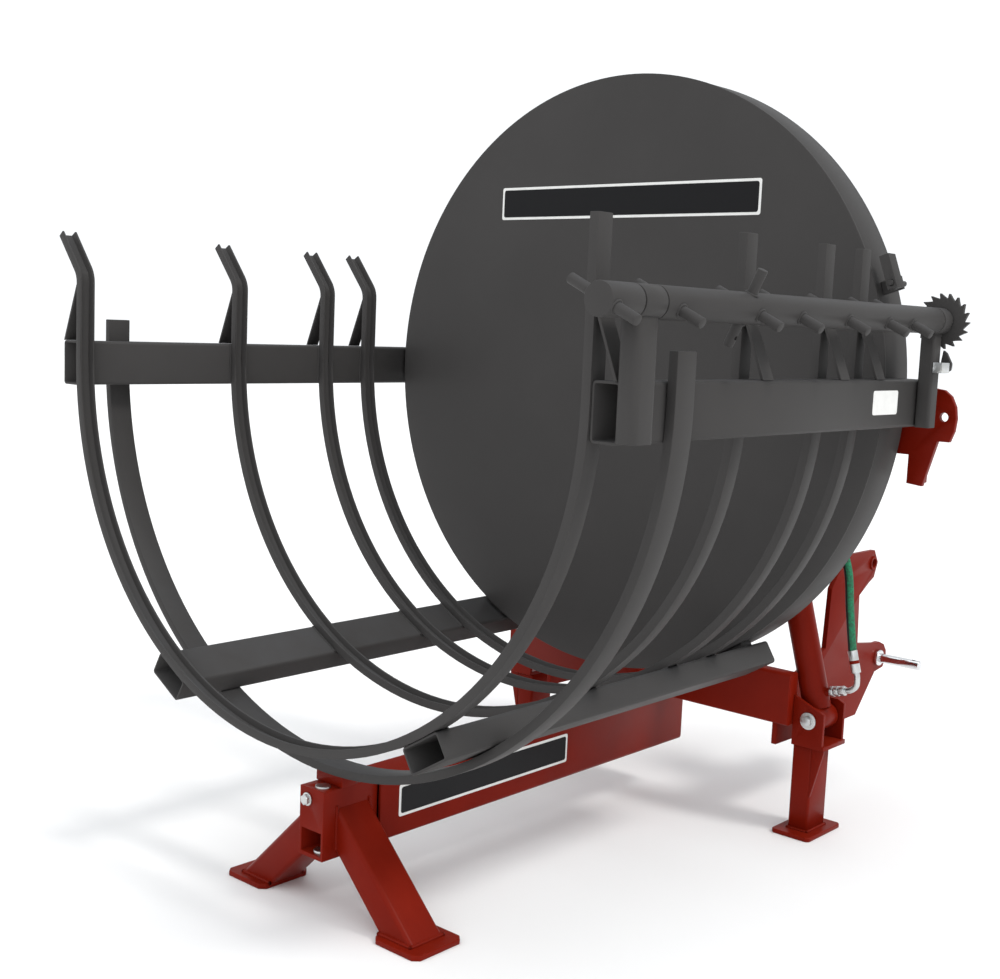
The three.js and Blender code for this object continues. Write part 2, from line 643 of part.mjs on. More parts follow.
function hose() {
  const profile = new THREE.Shape(circle(HOSE_R, 12).map(([u, v]) => new THREE.Vector2(u, v)));
  return piece('hose', new THREE.ExtrudeGeometry(profile, { steps: 24, extrudePath: hosePath() }), RUBBER);
}

function hoseCoupling() {
  const start = HOSE_END + 0.4;
  const nut = bar(cylAt(start, HOSE_ASIDE), cylAt(start + 42, HOSE_ASIDE), 14, 6);
  const tail = bar(cylAt(start + 40, HOSE_ASIDE), cylAt(start + 75.6, HOSE_ASIDE), 12, 16);
  return piece('hose_coupling', fromSolid(union(nut, tail)), ZINC);
}

// ---- assembly -----------------------------------------------------------
function buildDrum() {
  const indices = RIB_Y.map((_, i) => i);
  return [
    discPlate(), discRim(), discSpider(), cylinderLug(),
    ...indices.map(rib),
    sideRail('left_rail', -1), sideRail('right_rail', 1),
    lowerRail('lower_left_rail', LOWER_ANGLES[0]), lowerRail('lower_right_rail', LOWER_ANGLES[1]),
    trackHoop(),
    ...indices.map(leftGusset), ...indices.map(rightGusset),
    shaftPost('near_post', NEAR_POST_Y, [871.6, 917], 1166),
    shaftPost('far_post', FAR_POST_Y, FAR_POST_X, 1161),
    pawlBolt(), latchBracket()];
}

function buildFrame() {
  return [
    mainBeam(), headBox(), headBolt(),
    headPlug('head_plug_top', [BEAM_Z[1] - 7.7, BEAM_Z[1] + 4]), headPlug('head_plug_bottom', [141, 158]),
    hoopSaddle(), frontLeg('front_leg_left', -1), frontLeg('front_leg_right', 1),
    footPlate('front_foot_left', [-328, -188], [-1018, -868], 14),
    footPlate('front_foot_right', [188, 328], [-1018, -868], 14),
    rearCrossbeam(), sidePlate('side_plate_left', -1), sidePlate('side_plate_right', 1),
    linkPin('link_pin_left', -1), linkPin('link_pin_right', 1),
    rearLeg('rear_leg_left', -1), rearLeg('rear_leg_right', 1),
    footPlate('rear_foot_left', [-556, -440], [250, 432], 8),
    footPlate('rear_foot_right', [440, 556], [250, 432], 8),
    cylinderClevis(), leftLegCap(), clevisPin(), mast(), hubHousing(), topLinkBracket(), stopBracket()];
}

function build() {
  const group = new THREE.Group();
  group.name = 'firewood_bundler';
  const nodes = [
    ...buildDrum(), tensionShaft(), ratchetWheel(), pawl(), latchLever(), ...buildFrame(),
    cylinderBarrel(), pistonRod(), hoseFitting(), hose(), hoseCoupling()];
  for (const node of nodes) {
    node.geometry.translate(...ORIGIN);
    group.add(node);
  }
  return group;
}

export default build();
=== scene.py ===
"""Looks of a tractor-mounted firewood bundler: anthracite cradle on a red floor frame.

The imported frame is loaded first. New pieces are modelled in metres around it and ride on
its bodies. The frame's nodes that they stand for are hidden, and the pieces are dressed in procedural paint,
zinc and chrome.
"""

import contextlib
import json
import logging
import math
from dataclasses import dataclass, field
from enum import Enum
from typing import Callable, Iterator, Optional, Sequence

import bmesh
import bpy
from mathutils import Matrix, Vector


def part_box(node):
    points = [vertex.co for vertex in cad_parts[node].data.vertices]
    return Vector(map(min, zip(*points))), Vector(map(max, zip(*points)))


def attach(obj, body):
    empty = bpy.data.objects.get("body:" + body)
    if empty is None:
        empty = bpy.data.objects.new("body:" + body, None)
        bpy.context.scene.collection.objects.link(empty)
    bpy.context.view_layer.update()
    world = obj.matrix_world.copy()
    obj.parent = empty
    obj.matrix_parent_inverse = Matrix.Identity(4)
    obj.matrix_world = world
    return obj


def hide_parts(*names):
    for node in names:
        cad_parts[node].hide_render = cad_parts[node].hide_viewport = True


log = logging.getLogger("bundler")
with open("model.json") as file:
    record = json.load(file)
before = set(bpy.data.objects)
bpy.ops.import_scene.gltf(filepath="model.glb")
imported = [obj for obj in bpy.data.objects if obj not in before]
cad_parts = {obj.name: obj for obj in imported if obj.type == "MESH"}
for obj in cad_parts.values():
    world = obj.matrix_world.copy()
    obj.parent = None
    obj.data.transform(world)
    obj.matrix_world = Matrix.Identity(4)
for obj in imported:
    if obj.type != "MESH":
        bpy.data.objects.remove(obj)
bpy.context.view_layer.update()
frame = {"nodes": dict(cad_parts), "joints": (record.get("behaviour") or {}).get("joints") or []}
JOINTS = {joint["name"]: joint for joint in frame["joints"]}

Point = Sequence[float]
MM = 0.001
MERGE = 0.00002  # points closer together than this are one point
HEAD_RISE = 0.36  # height of a bolt head, as a share of its width across the corners
WASHER_WALL = 0.003


class Axis(Enum):
    """A direction of the shared frame, with its index in a point."""

    X = 0
    Y = 1
    Z = 2


class Body(Enum):
    """The moving bodies that a piece can ride on."""

    FRAME = "frame"
    DRUM = "drum"
    SHAFT = "tension_shaft"
    PAWL = "pawl"
    LATCH = "latch"
    BARREL = "barrel"
    ROD = "rod"


# ---- modelling by operator ---------------------------------------------------------


def start_clean() -> None:
    """Leave object mode behind with nothing selected."""
    if bpy.context.object and bpy.context.object.mode != "OBJECT":
        bpy.ops.object.mode_set(mode="OBJECT")
    bpy.ops.object.select_all(action="DESELECT")


def choose(*pieces: bpy.types.Object) -> None:
    """Select the given pieces only, the last one active.

    Args:
        pieces: The objects to select.
    """
    start_clean()
    for piece in pieces:
        piece.select_set(True)
    bpy.context.view_layer.objects.active = pieces[-1]


@contextlib.contextmanager
def editing(piece: bpy.types.Object) -> Iterator[bmesh.types.BMesh]:
    """Edit mode on one piece, with nothing selected at first.

    Args:
        piece: The object to edit.
    """
    choose(piece)
    bpy.ops.object.mode_set(mode="EDIT")
    bpy.ops.mesh.select_all(action="DESELECT")
    yield bmesh.from_edit_mesh(piece.data)
    bpy.ops.object.mode_set(mode="OBJECT")


def pick_faces(piece: bpy.types.Object, test: Callable[[Vector, Vector], bool]) -> None:
    """Select faces in edit mode by their centre and normal.

    Args:
        piece: The object in edit mode.
        test: Says yes or no for a face centre and a face normal.
    """
    bpy.ops.mesh.select_mode(type="FACE")
    mesh = bmesh.from_edit_mesh(piece.data)
    for face in mesh.faces:
        face.select_set(test(face.calc_center_median(), face.normal))
    bmesh.update_edit_mesh(piece.data)


def pick_edges(piece: bpy.types.Object, test: Callable[[Vector, Vector], bool]) -> None:
    """Select edges in edit mode by their two ends.

    Args:
        piece: The object in edit mode.
        test: Says yes or no for the two ends of an edge.
    """
    bpy.ops.mesh.select_mode(type="EDGE")
    mesh = bmesh.from_edit_mesh(piece.data)
    for edge in mesh.edges:
        edge.select_set(test(edge.verts[0].co, edge.verts[1].co))
    bmesh.update_edit_mesh(piece.data)


def settle(piece: bpy.types.Object) -> bpy.types.Object:
    """Move a piece's place, turn and size into its mesh."""
    choose(piece)
    bpy.ops.object.transform_apply(location=True, rotation=True, scale=True)
    return piece


def modify(piece: bpy.types.Object, kind: str, **settings: object) -> bpy.types.Object:
    """Add one modifier and apply it.

    Args:
        piece: The object to change.
        kind: The modifier's type, such as BEVEL.
        settings: The modifier's own values.

    Returns:
        The same object.
    """
    choose(piece)
    bpy.ops.object.modifier_add(type=kind)
    modifier = piece.modifiers[-1]
    for key, value in settings.items():
        setattr(modifier, key, value)
    bpy.ops.object.modifier_apply(modifier=modifier.name)
    return piece


def outward(piece: bpy.types.Object) -> bpy.types.Object:
    """Merge doubled points and turn every face outwards.

    Args:
        piece: The object to mend.

    Returns:
        The same object.
    """
    with editing(piece):
        bpy.ops.mesh.select_all(action="SELECT")
        bpy.ops.mesh.remove_doubles(threshold=MERGE)
        bpy.ops.mesh.normals_make_consistent(inside=False)
    return piece


def soften(piece: bpy.types.Object, width: float, segments: int = 2, angle: float = 32) -> bpy.types.Object:
    """Round the sharp edges a little and shade the piece smooth between them.

    Args:
        piece: The object to finish.
        width: Width of the rounding.
        segments: Steps in the rounding.
        angle: Edges that turn by more degrees than this are sharp.

    Returns:
        The same object.
    """
    modify(piece, "BEVEL", width=width, segments=segments, limit_method="ANGLE",
           angle_limit=math.radians(angle), use_clamp_overlap=True)
    choose(piece)
    bpy.ops.object.shade_smooth_by_angle(angle=math.radians(angle))
    return piece


def named(piece: bpy.types.Object, name: str) -> bpy.types.Object:
    """Give an object and its mesh one name."""
    piece.name = name
    piece.data.name = name
    return piece


def block(name: str, low: Point, high: Point) -> bpy.types.Object:
    """Add a box between two corners.

    Args:
        name: Name of the new object.
        low: Lowest corner.
        high: Highest corner.

    Returns:
        The box.
    """
    start_clean()
    size = [b - a for a, b in zip(low, high)]
    centre = [(a + b) / 2 for a, b in zip(low, high)]
    bpy.ops.mesh.primitive_cube_add(size=1, location=centre, scale=size)
    return settle(named(bpy.context.object, name))


def round_bar(name: str, start: Point, end: Point, radius: float, sides: int = 48) -> bpy.types.Object:
    """Add a closed cylinder between two points.

    Args:
        name: Name of the new object.
        start: Centre of one end.
        end: Centre of the other end.
        radius: Radius to the corners.
        sides: Number of flat sides.

    Returns:
        The cylinder.
    """
    start_clean()
    run = Vector(end) - Vector(start)
    middle = (Vector(end) + Vector(start)) / 2
    turn = run.to_track_quat("Z", "Y").to_euler()
    bpy.ops.mesh.primitive_cylinder_add(vertices=sides, radius=radius, depth=run.length,
                                        location=middle, rotation=turn)
    return settle(named(bpy.context.object, name))


def sheet_outline(name: str, points: Sequence[Point], plane: Axis, at: float) -> bpy.types.Object:
    """Add a flat face with the given outline.

    Args:
        name: Name of the new object.
        points: Outline in the two axes left over, in X, Y, Z order.
        plane: The axis that the face is square to.
        at: Where the face lies on that axis.

    Returns:
        The flat object.
    """
    start_clean()
    bpy.ops.mesh.primitive_circle_add(vertices=len(points), radius=1, fill_type="NGON")
    piece = named(bpy.context.object, name)
    for vertex, (u, v) in zip(piece.data.vertices, points):
        place = [u, v]
        place.insert(plane.value, at)
        vertex.co = place
    return piece


def plate(name: str, points: Sequence[Point], plane: Axis, span: Point) -> bpy.types.Object:
    """Extrude an outline into a plate between two planes.

    Args:
        name: Name of the new object.
        points: Outline in the two axes left over, in X, Y, Z order.
        plane: The axis that the plate is square to.
        span: Where its two faces lie on that axis.

    Returns:
        The plate.
    """
    piece = sheet_outline(name, points, plane, span[0])
    run = [0.0, 0.0, 0.0]
    run[plane.value] = span[1] - span[0]
    with editing(piece):
        bpy.ops.mesh.select_all(action="SELECT")
        bpy.ops.mesh.extrude_region_move(TRANSFORM_OT_translate={"value": run})
    return outward(piece)


def box_tube(name: str, low: Point, high: Point, axis: Axis, wall: float, corner: float) -> bpy.types.Object:
    """Model a rectangular hollow section with round corners and open ends.

    Args:
        name: Name of the new object.
        low: Lowest corner.
        high: Highest corner.
        axis: The direction the tube runs in.
        wall: Wall thickness.
        corner: Outer corner radius.

    Returns:
        The tube.
    """
    piece = block(name, low, high)
    k = axis.value
    with editing(piece):
        pick_faces(piece, lambda centre, normal: abs(normal[k]) > 0.9)
        bpy.ops.mesh.delete(type="FACE")
        pick_edges(piece, lambda a, b: abs(a[k] - b[k]) > 1e-4)
        bpy.ops.mesh.bevel(offset=corner, segments=4, profile=0.5, affect="EDGES")
    modify(piece, "SOLIDIFY", thickness=wall, offset=-1, use_even_offset=True, use_quality_normals=True)
    outward(piece)
    return soften(piece, 0.0008, 1, 50)


def turned(piece: bpy.types.Object, angle: float, axis: Axis, centre: Point) -> bpy.types.Object:
    """Turn a finished mesh about an axis through a point.

    Args:
        piece: The object to turn.
        angle: Degrees, positive by the right-hand rule.
        axis: The axis of the turn.
        centre: A point on that axis.

    Returns:
        The same object.
    """
    choose(piece)
    spin = Matrix.Rotation(math.radians(angle), 4, axis.name)
    middle = Matrix.Translation(Vector(centre))
    piece.matrix_world = middle @ spin @ middle.inverted() @ piece.matrix_world
    return settle(piece)


def cut(piece: bpy.types.Object, *tools: bpy.types.Object) -> bpy.types.Object:
    """Cut other solids out of a piece and throw the tools away.

    Args:
        piece: The object to cut.
        tools: The solids that are taken out of it.

    Returns:
        The same object.
    """
    for tool in tools:
        modify(piece, "BOOLEAN", operation="DIFFERENCE", object=tool, solver="EXACT")
        bpy.data.objects.remove(tool)
    return piece


def joined(name: str, *pieces: bpy.types.Object) -> bpy.types.Object:
    """Join several solids into one object.

    Args:
        name: Name of the result.
        pieces: The solids to join.

    Returns:
        The joined object.
    """
    choose(*pieces)
    bpy.ops.object.join()
    return named(bpy.context.object, name)


def hex_bolt(name: str, base: Point, way: Point, across: float,
             washer: Optional[float] = None) -> bpy.types.Object:
    """Model a hexagon head on a washer.

    Args:
        name: Name of the new object.
        base: Centre of the face that the washer lies on.
        way: Unit direction that the head points in.
        across: Width across the corners.
        washer: Outer radius of the washer, if there is one.

    Returns:
        The bolt head.
    """
    base, way = Vector(base), Vector(way)
    parts = []
    lift = 0.0
    if washer:
        lift = WASHER_WALL
        parts.append(soften(round_bar("washer", base, base + way * lift, washer), 0.0006))
    top = lift + across * HEAD_RISE
    head = round_bar("head", base + way * (lift - 0.0004), base + way * top, across / 2, 6)
    parts.append(soften(head, 0.0011, 2))
    stamp = round_bar("boss", base + way * lift, base + way * (top + 0.0006), across * 0.36)
    parts.append(soften(stamp, 0.0005))
    return joined(name, *parts)


def weld_line(start: Point, end: Point, radius: float = 0.0032) -> bpy.types.Object:
    """Lay a row of round weld ripples between two points.

    Args:
        start: Where the seam begins.
        end: Where the seam ends.
        radius: Half the width of the bead.

    Returns:
        The seam.
    """
    start_clean()
    run = Vector(end) - Vector(start)
    count = max(2, round(run.length / (radius * 0.9)))
    bpy.ops.mesh.primitive_ico_sphere_add(subdivisions=2, radius=radius, location=start)
    ripple = settle(bpy.context.object)
    modify(ripple, "ARRAY", count=count + 1, use_relative_offset=False, use_constant_offset=True,
           constant_offset_displace=run / count)
    bpy.ops.object.shade_smooth()
    return ripple


# ---- shader nodes ------------------------------------------------------------------


@dataclass
class Socket:
    """One output socket, which Python operators turn into Math nodes."""

    maker: "Shader"
    link: bpy.types.NodeSocket

    def _math(self, operation: str, first: object, second: object) -> "Socket":
        """Add one Math node for two values or sockets."""
        return self.maker.node("ShaderNodeMath", {"operation": operation}, {0: first, 1: second})

    def __add__(self, other: object) -> "Socket":
        """Sum."""
        return self._math("ADD", self, other)

    __radd__ = __add__

    def __sub__(self, other: object) -> "Socket":
        """Difference."""
        return self._math("SUBTRACT", self, other)

    def __rsub__(self, other: object) -> "Socket":
        """Difference from a number."""
        return self._math("SUBTRACT", other, self)

    def __mul__(self, other: object) -> "Socket":
        """Product."""
        return self._math("MULTIPLY", self, other)

    __rmul__ = __mul__


class Shader:
    """A node material under construction."""

    def __init__(self, name: str) -> None:
        """Start an empty material with one Principled shader."""
        self.material = bpy.data.materials.new(name)
        self.material.use_nodes = True
        self.tree = self.material.node_tree
        self.tree.nodes.clear()
        self.shader = self.tree.nodes.new("ShaderNodeBsdfPrincipled")
        output = self.tree.nodes.new("ShaderNodeOutputMaterial")
        self.tree.links.new(self.shader.outputs[0], output.inputs[0])

    def node(self, kind: str, settings: dict, values: dict, out: object = 0) -> Socket:
        """Add any node.

        Args:
            kind: The node's type name.
            settings: Attributes that are set first.
            values: Input names or numbers, with sockets, numbers or tuples.
            out: Name or number of the output to return.

        Returns:
            The chosen output.
        """
        made = self.tree.nodes.new(kind)
        for key, value in settings.items():
            setattr(made, key, value)
        for key, value in values.items():
            self.feed(made.inputs[key], value)
        return Socket(self, made.outputs[out])

    def feed(self, target: bpy.types.NodeSocket, value: object) -> None:
        """Link a socket to an input, or set the input's own value."""
        if isinstance(value, Socket):
            self.tree.links.new(value.link, target)
        else:
            target.default_value = value

    def set(self, **values: object) -> "Shader":
        """Feed inputs of the Principled shader, underscores standing for spaces."""
        for key, value in values.items():
            self.feed(self.shader.inputs[key.replace("_", " ")], value)
        return self

    def place(self) -> Socket:
        """Object coordinates."""
        return self.node("ShaderNodeTexCoord", {}, {}, "Object")

    def noise(self, scale: float, detail: float = 3, rough: float = 0.5,
              place: Optional[Socket] = None) -> Socket:
        """Noise between nought and one.

        Args:
            scale: How fine the noise is.
            detail: Number of finer layers.
            rough: Strength of the finer layers.
            place: Coordinates to read, object coordinates if none are given.

        Returns:
            The noise value.
        """
        where = place or self.place()
        values = {"Vector": where, "Scale": scale, "Detail": detail, "Roughness": rough}
        return self.node("ShaderNodeTexNoise", {}, values)

    def stretched(self, scale: Point) -> Socket:
        """Object coordinates with their own scale on each axis."""
        return self.node("ShaderNodeMapping", {}, {"Vector": self.place(), "Scale": tuple(scale)})

    def ramp(self, fac: Socket, low: float, high: float) -> Socket:
        """Stretch a value so that low becomes nought and high becomes one."""
        values = {"Value": fac, "From Min": low, "From Max": high}
        return self.node("ShaderNodeMapRange", {"clamp": True}, values)

    def blend(self, fac: object, first: object, second: object) -> Socket:
        """Mix two colours."""
        settings = {"data_type": "RGBA", "clamp_factor": True}
        return self.node("ShaderNodeMix", settings, {0: fac, 6: first, 7: second}, 2)

    def bump(self, height: Socket, strength: float, distance: float) -> Socket:
        """Turn a height into a normal."""
        values = {"Strength": strength, "Distance": distance, "Height": height}
        return self.node("ShaderNodeBump", {}, values, "Normal")

    def facing_up(self) -> Socket:
        """One on surfaces that face the sky, nought on walls and undersides."""
        normal = self.node("ShaderNodeNewGeometry", {}, {}, "Normal")
        return self.ramp(self.node("ShaderNodeSeparateXYZ", {}, {0: normal}, "Z"), 0.35, 1.0)


def rgb(red: float, green: float, blue: float) -> tuple[float, float, float, float]:
    """An opaque colour."""
    return (red, green, blue, 1.0)


@dataclass(frozen=True)
class PowderCoat:
    """Satin powder coat with a fine orange-peel skin, cloudy gloss, thin dust and painted sky light on faces
    that look up.

    Attributes:
        name: Material name.
        colour: Main colour.
        shade: Darker tone that clouds through it.
        dust_and_sky_light: Colour of the dust and of the painted sky light on faces that look up.
        gloss: Mean roughness.
        dust_and_sky_light_share: How much dust and painted sky light there is.
        peel: Strength of the orange peel.
    """

    name: str
    colour: tuple
    shade: tuple
    dust_and_sky_light: tuple
    gloss: float = 0.4
    dust_and_sky_light_share: float = 0.25
    peel: float = 0.12

    def make(self) -> bpy.types.Material:
        """Build the material."""
        shader = Shader(self.name)
        cloud = shader.ramp(shader.noise(2.6, 4, 0.6), 0.32, 0.7)
        speck = shader.noise(190, 3, 0.6)
        scuff = shader.ramp(shader.noise(46, 6, 0.72, shader.stretched((1.0, 1.0, 0.25))), 0.66, 0.8)
        tone = shader.blend(cloud * 0.7 + speck * 0.3, self.shade, self.colour)
        # Faces that look up are blended towards a lighter, bluer colour: part dust, part painted sky light.
        dust_and_sky_light_mask = shader.facing_up() * shader.ramp(shader.noise(9, 5, 0.65), 0.25, 0.8)
        dusted_and_sky_lit = shader.blend(dust_and_sky_light_mask * self.dust_and_sky_light_share + scuff * 0.05, tone, self.dust_and_sky_light)
        rough = self.gloss + (cloud - 0.5) * 0.08 + dust_and_sky_light_mask * 0.12 + scuff * 0.1
        skin = shader.noise(520, 2, 0.5) + shader.noise(60, 3, 0.5) * 0.8
        normal = shader.bump(skin, self.peel, 0.0008)
        shader.set(Base_Color=dusted_and_sky_lit, Roughness=rough, Metallic=0.0, Normal=normal, Specular_IOR_Level=0.07)
        return shader.material


@dataclass(frozen=True)
class BrightMetal:
    """Zinc, chrome or raw steel with fine marks.

    Attributes:
        name: Material name.
        colour: Metal colour.
        tint: Second tone of the passivation or handling marks.
        gloss: Mean roughness.
        marks: Strength of the marks.
    """

    name: str
    colour: tuple
    tint: tuple
    gloss: float
    marks: float

    def make(self) -> bpy.types.Material:
        """Build the material."""
        shader = Shader(self.name)
        cloud = shader.ramp(shader.noise(70, 5, 0.65), 0.3, 0.75)
        lines = shader.noise(240, 4, 0.6, shader.stretched((1.0, 0.2, 1.0)))
        tone = shader.blend(cloud * self.marks, self.colour, self.tint)
        rough = self.gloss + (lines - 0.5) * 0.16 + cloud * self.marks * 0.12
        normal = shader.bump(lines + shader.noise(600, 2) * 0.4, 0.06, 0.0004)
        shader.set(Base_Color=tone, Roughness=rough, Metallic=1.0, Normal=normal)
        return shader.material


@dataclass(frozen=True)
class HoseCover:
    """Black braided hose cover with a coloured stripe along one side.

    The hose's own "around" attribute is one in the middle of the stripe and falls to nought a
    quarter of the way round from it.

    Attributes:
        name: Material name.
        rubber: Colour of the cover.
        stripe: Colour of the stripe.
        width: How far "around" falls from the middle of the stripe to its edge.
    """

    name: str
    rubber: tuple
    stripe: tuple
    width: float

    def make(self) -> bpy.types.Material:
        """Build the material."""
        shader = Shader(self.name)
        around = shader.node("ShaderNodeAttribute", {"attribute_name": "around"}, {}, "Fac")
        stripe = shader.ramp(around, 1 - self.width, 1 - self.width + 0.06)
        worn = shader.ramp(shader.noise(160, 5, 0.7), 0.3, 0.62)
        tone = shader.blend(stripe * worn, self.rubber, self.stripe)
        skin = shader.noise(900, 2) + shader.noise(300, 3, 0.5, shader.stretched((1.0, 1.0, 0.1)))
        shader.set(Base_Color=tone, Roughness=0.55 + worn * 0.12, Metallic=0.0)
        shader.set(Normal=shader.bump(skin, 0.25, 0.0005))
        return shader.material


@dataclass(frozen=True)
class StickerFilm:
    """Plain printed film without any lettering.

    Attributes:
        name: Material name.
        colour: Film colour.
        gloss: Roughness.
    """

    name: str
    colour: tuple
    gloss: float = 0.3

    def make(self) -> bpy.types.Material:
        """Build the material."""
        shader = Shader(self.name)
        grime = shader.ramp(shader.noise(35, 5, 0.7), 0.45, 0.8)
        darker = tuple(c * 0.72 for c in self.colour[:3]) + (1.0,)
        tone = shader.blend(grime * 0.35, self.colour, darker)
        shader.set(Base_Color=tone, Roughness=self.gloss + grime * 0.2)
        shader.set(Normal=shader.bump(shader.noise(24, 2), 0.08, 0.0006), Specular_IOR_Level=0.12)
        return shader.material


@dataclass
class Finishes:
    """Every material of the bundler, made once."""

    # The third colour of each coat is the dust and painted sky light on faces that look up.
    grey: bpy.types.Material = field(default_factory=lambda: PowderCoat(
        "anthracite_coat", rgb(0.057, 0.0545, 0.0535), rgb(0.049, 0.047, 0.046), rgb(0.088, 0.092, 0.100),
        0.46, 0.4, 0.08).make())
    red: bpy.types.Material = field(default_factory=lambda: PowderCoat(
        "red_coat", rgb(0.205, 0.0105, 0.0032), rgb(0.135, 0.006, 0.002), rgb(0.33, 0.03, 0.011),
        0.36, 0.3, 0.16).make())
    zinc: bpy.types.Material = field(default_factory=lambda: BrightMetal(
        "bright_zinc", rgb(0.62, 0.64, 0.66), rgb(0.5, 0.47, 0.38), 0.3, 0.5).make())
    chrome: bpy.types.Material = field(default_factory=lambda: BrightMetal(
        "hard_chrome", rgb(0.8, 0.81, 0.83), rgb(0.45, 0.43, 0.4), 0.13, 0.35).make())
    hose: bpy.types.Material = field(default_factory=lambda: HoseCover(
        "hose_cover", rgb(0.012, 0.014, 0.013), rgb(0.0, 0.22, 0.09), 0.42).make())
    black: bpy.types.Material = field(default_factory=lambda: StickerFilm(
        "black_film", rgb(0.01, 0.01, 0.011)).make())
    white: bpy.types.Material = field(default_factory=lambda: StickerFilm(
        "white_film", rgb(0.78, 0.78, 0.76)).make())

    def slot_of(self, material: bpy.types.Material) -> str:
        """The record's material slot that a finish belongs to."""
        names = {self.red: "red_paint", self.zinc: "zinc_steel", self.chrome: "chrome_steel",
                 self.hose: "hose_rubber"}
        return names.get(material, "anthracite_paint")


@dataclass
class Workshop:
    """Finishes pieces: paints them, hands them to a body and hides the nodes they stand for."""

    finishes: Finishes
    count: int = 0

    def fit(self, piece: bpy.types.Object, name: str, body: Body, material: bpy.types.Material,
            *nodes: str) -> bpy.types.Object:
        """Hand over one finished piece.

        Args:
            piece: The modelled object.
            name: Its final name.
            body: The body it rides on.
            material: Its finish.
            nodes: CAD nodes that it stands for.

        Returns:
            The same object.
        """
        named(piece, name)
        piece.data.materials.clear()
        piece.data.materials.append(material)
        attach(piece, body.value)
        self.finishes.slot_of(material)
        if nodes:
            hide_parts(*nodes)
        self.count += 1
        log.info("piece %s rides on %s", name, body.value)
        return piece

    def rounded_copy(self, node: str, name: str, body: Body, material: bpy.types.Material,
                     width: float = 0.0012) -> bpy.types.Object:
        """Replace a plate-like node by a copy of itself with rounded edges.

        Args:
            node: The CAD node.
            name: Name of the new piece.
            body: The body it rides on.
            material: Its finish.
            width: Width of the rounding.

        Returns:
            The new piece.
        """
        source = frame["nodes"][node]
        copy = bpy.data.objects.new(name, source.data.copy())
        bpy.context.collection.objects.link(copy)
        with editing(copy):
            bpy.ops.mesh.select_all(action="SELECT")
            bpy.ops.mesh.remove_doubles(threshold=MERGE)
            bpy.ops.mesh.dissolve_limited(angle_limit=math.radians(1.0))
        soften(copy, width, 2, 28)
        return self.fit(copy, name, body, material, node)


def joint_point(name: str) -> Vector:
    """Where a joint's axis passes through at rest."""
    return Vector(JOINTS[name]["pos_m"])


# ---- drum --------------------------------------------------------------------------


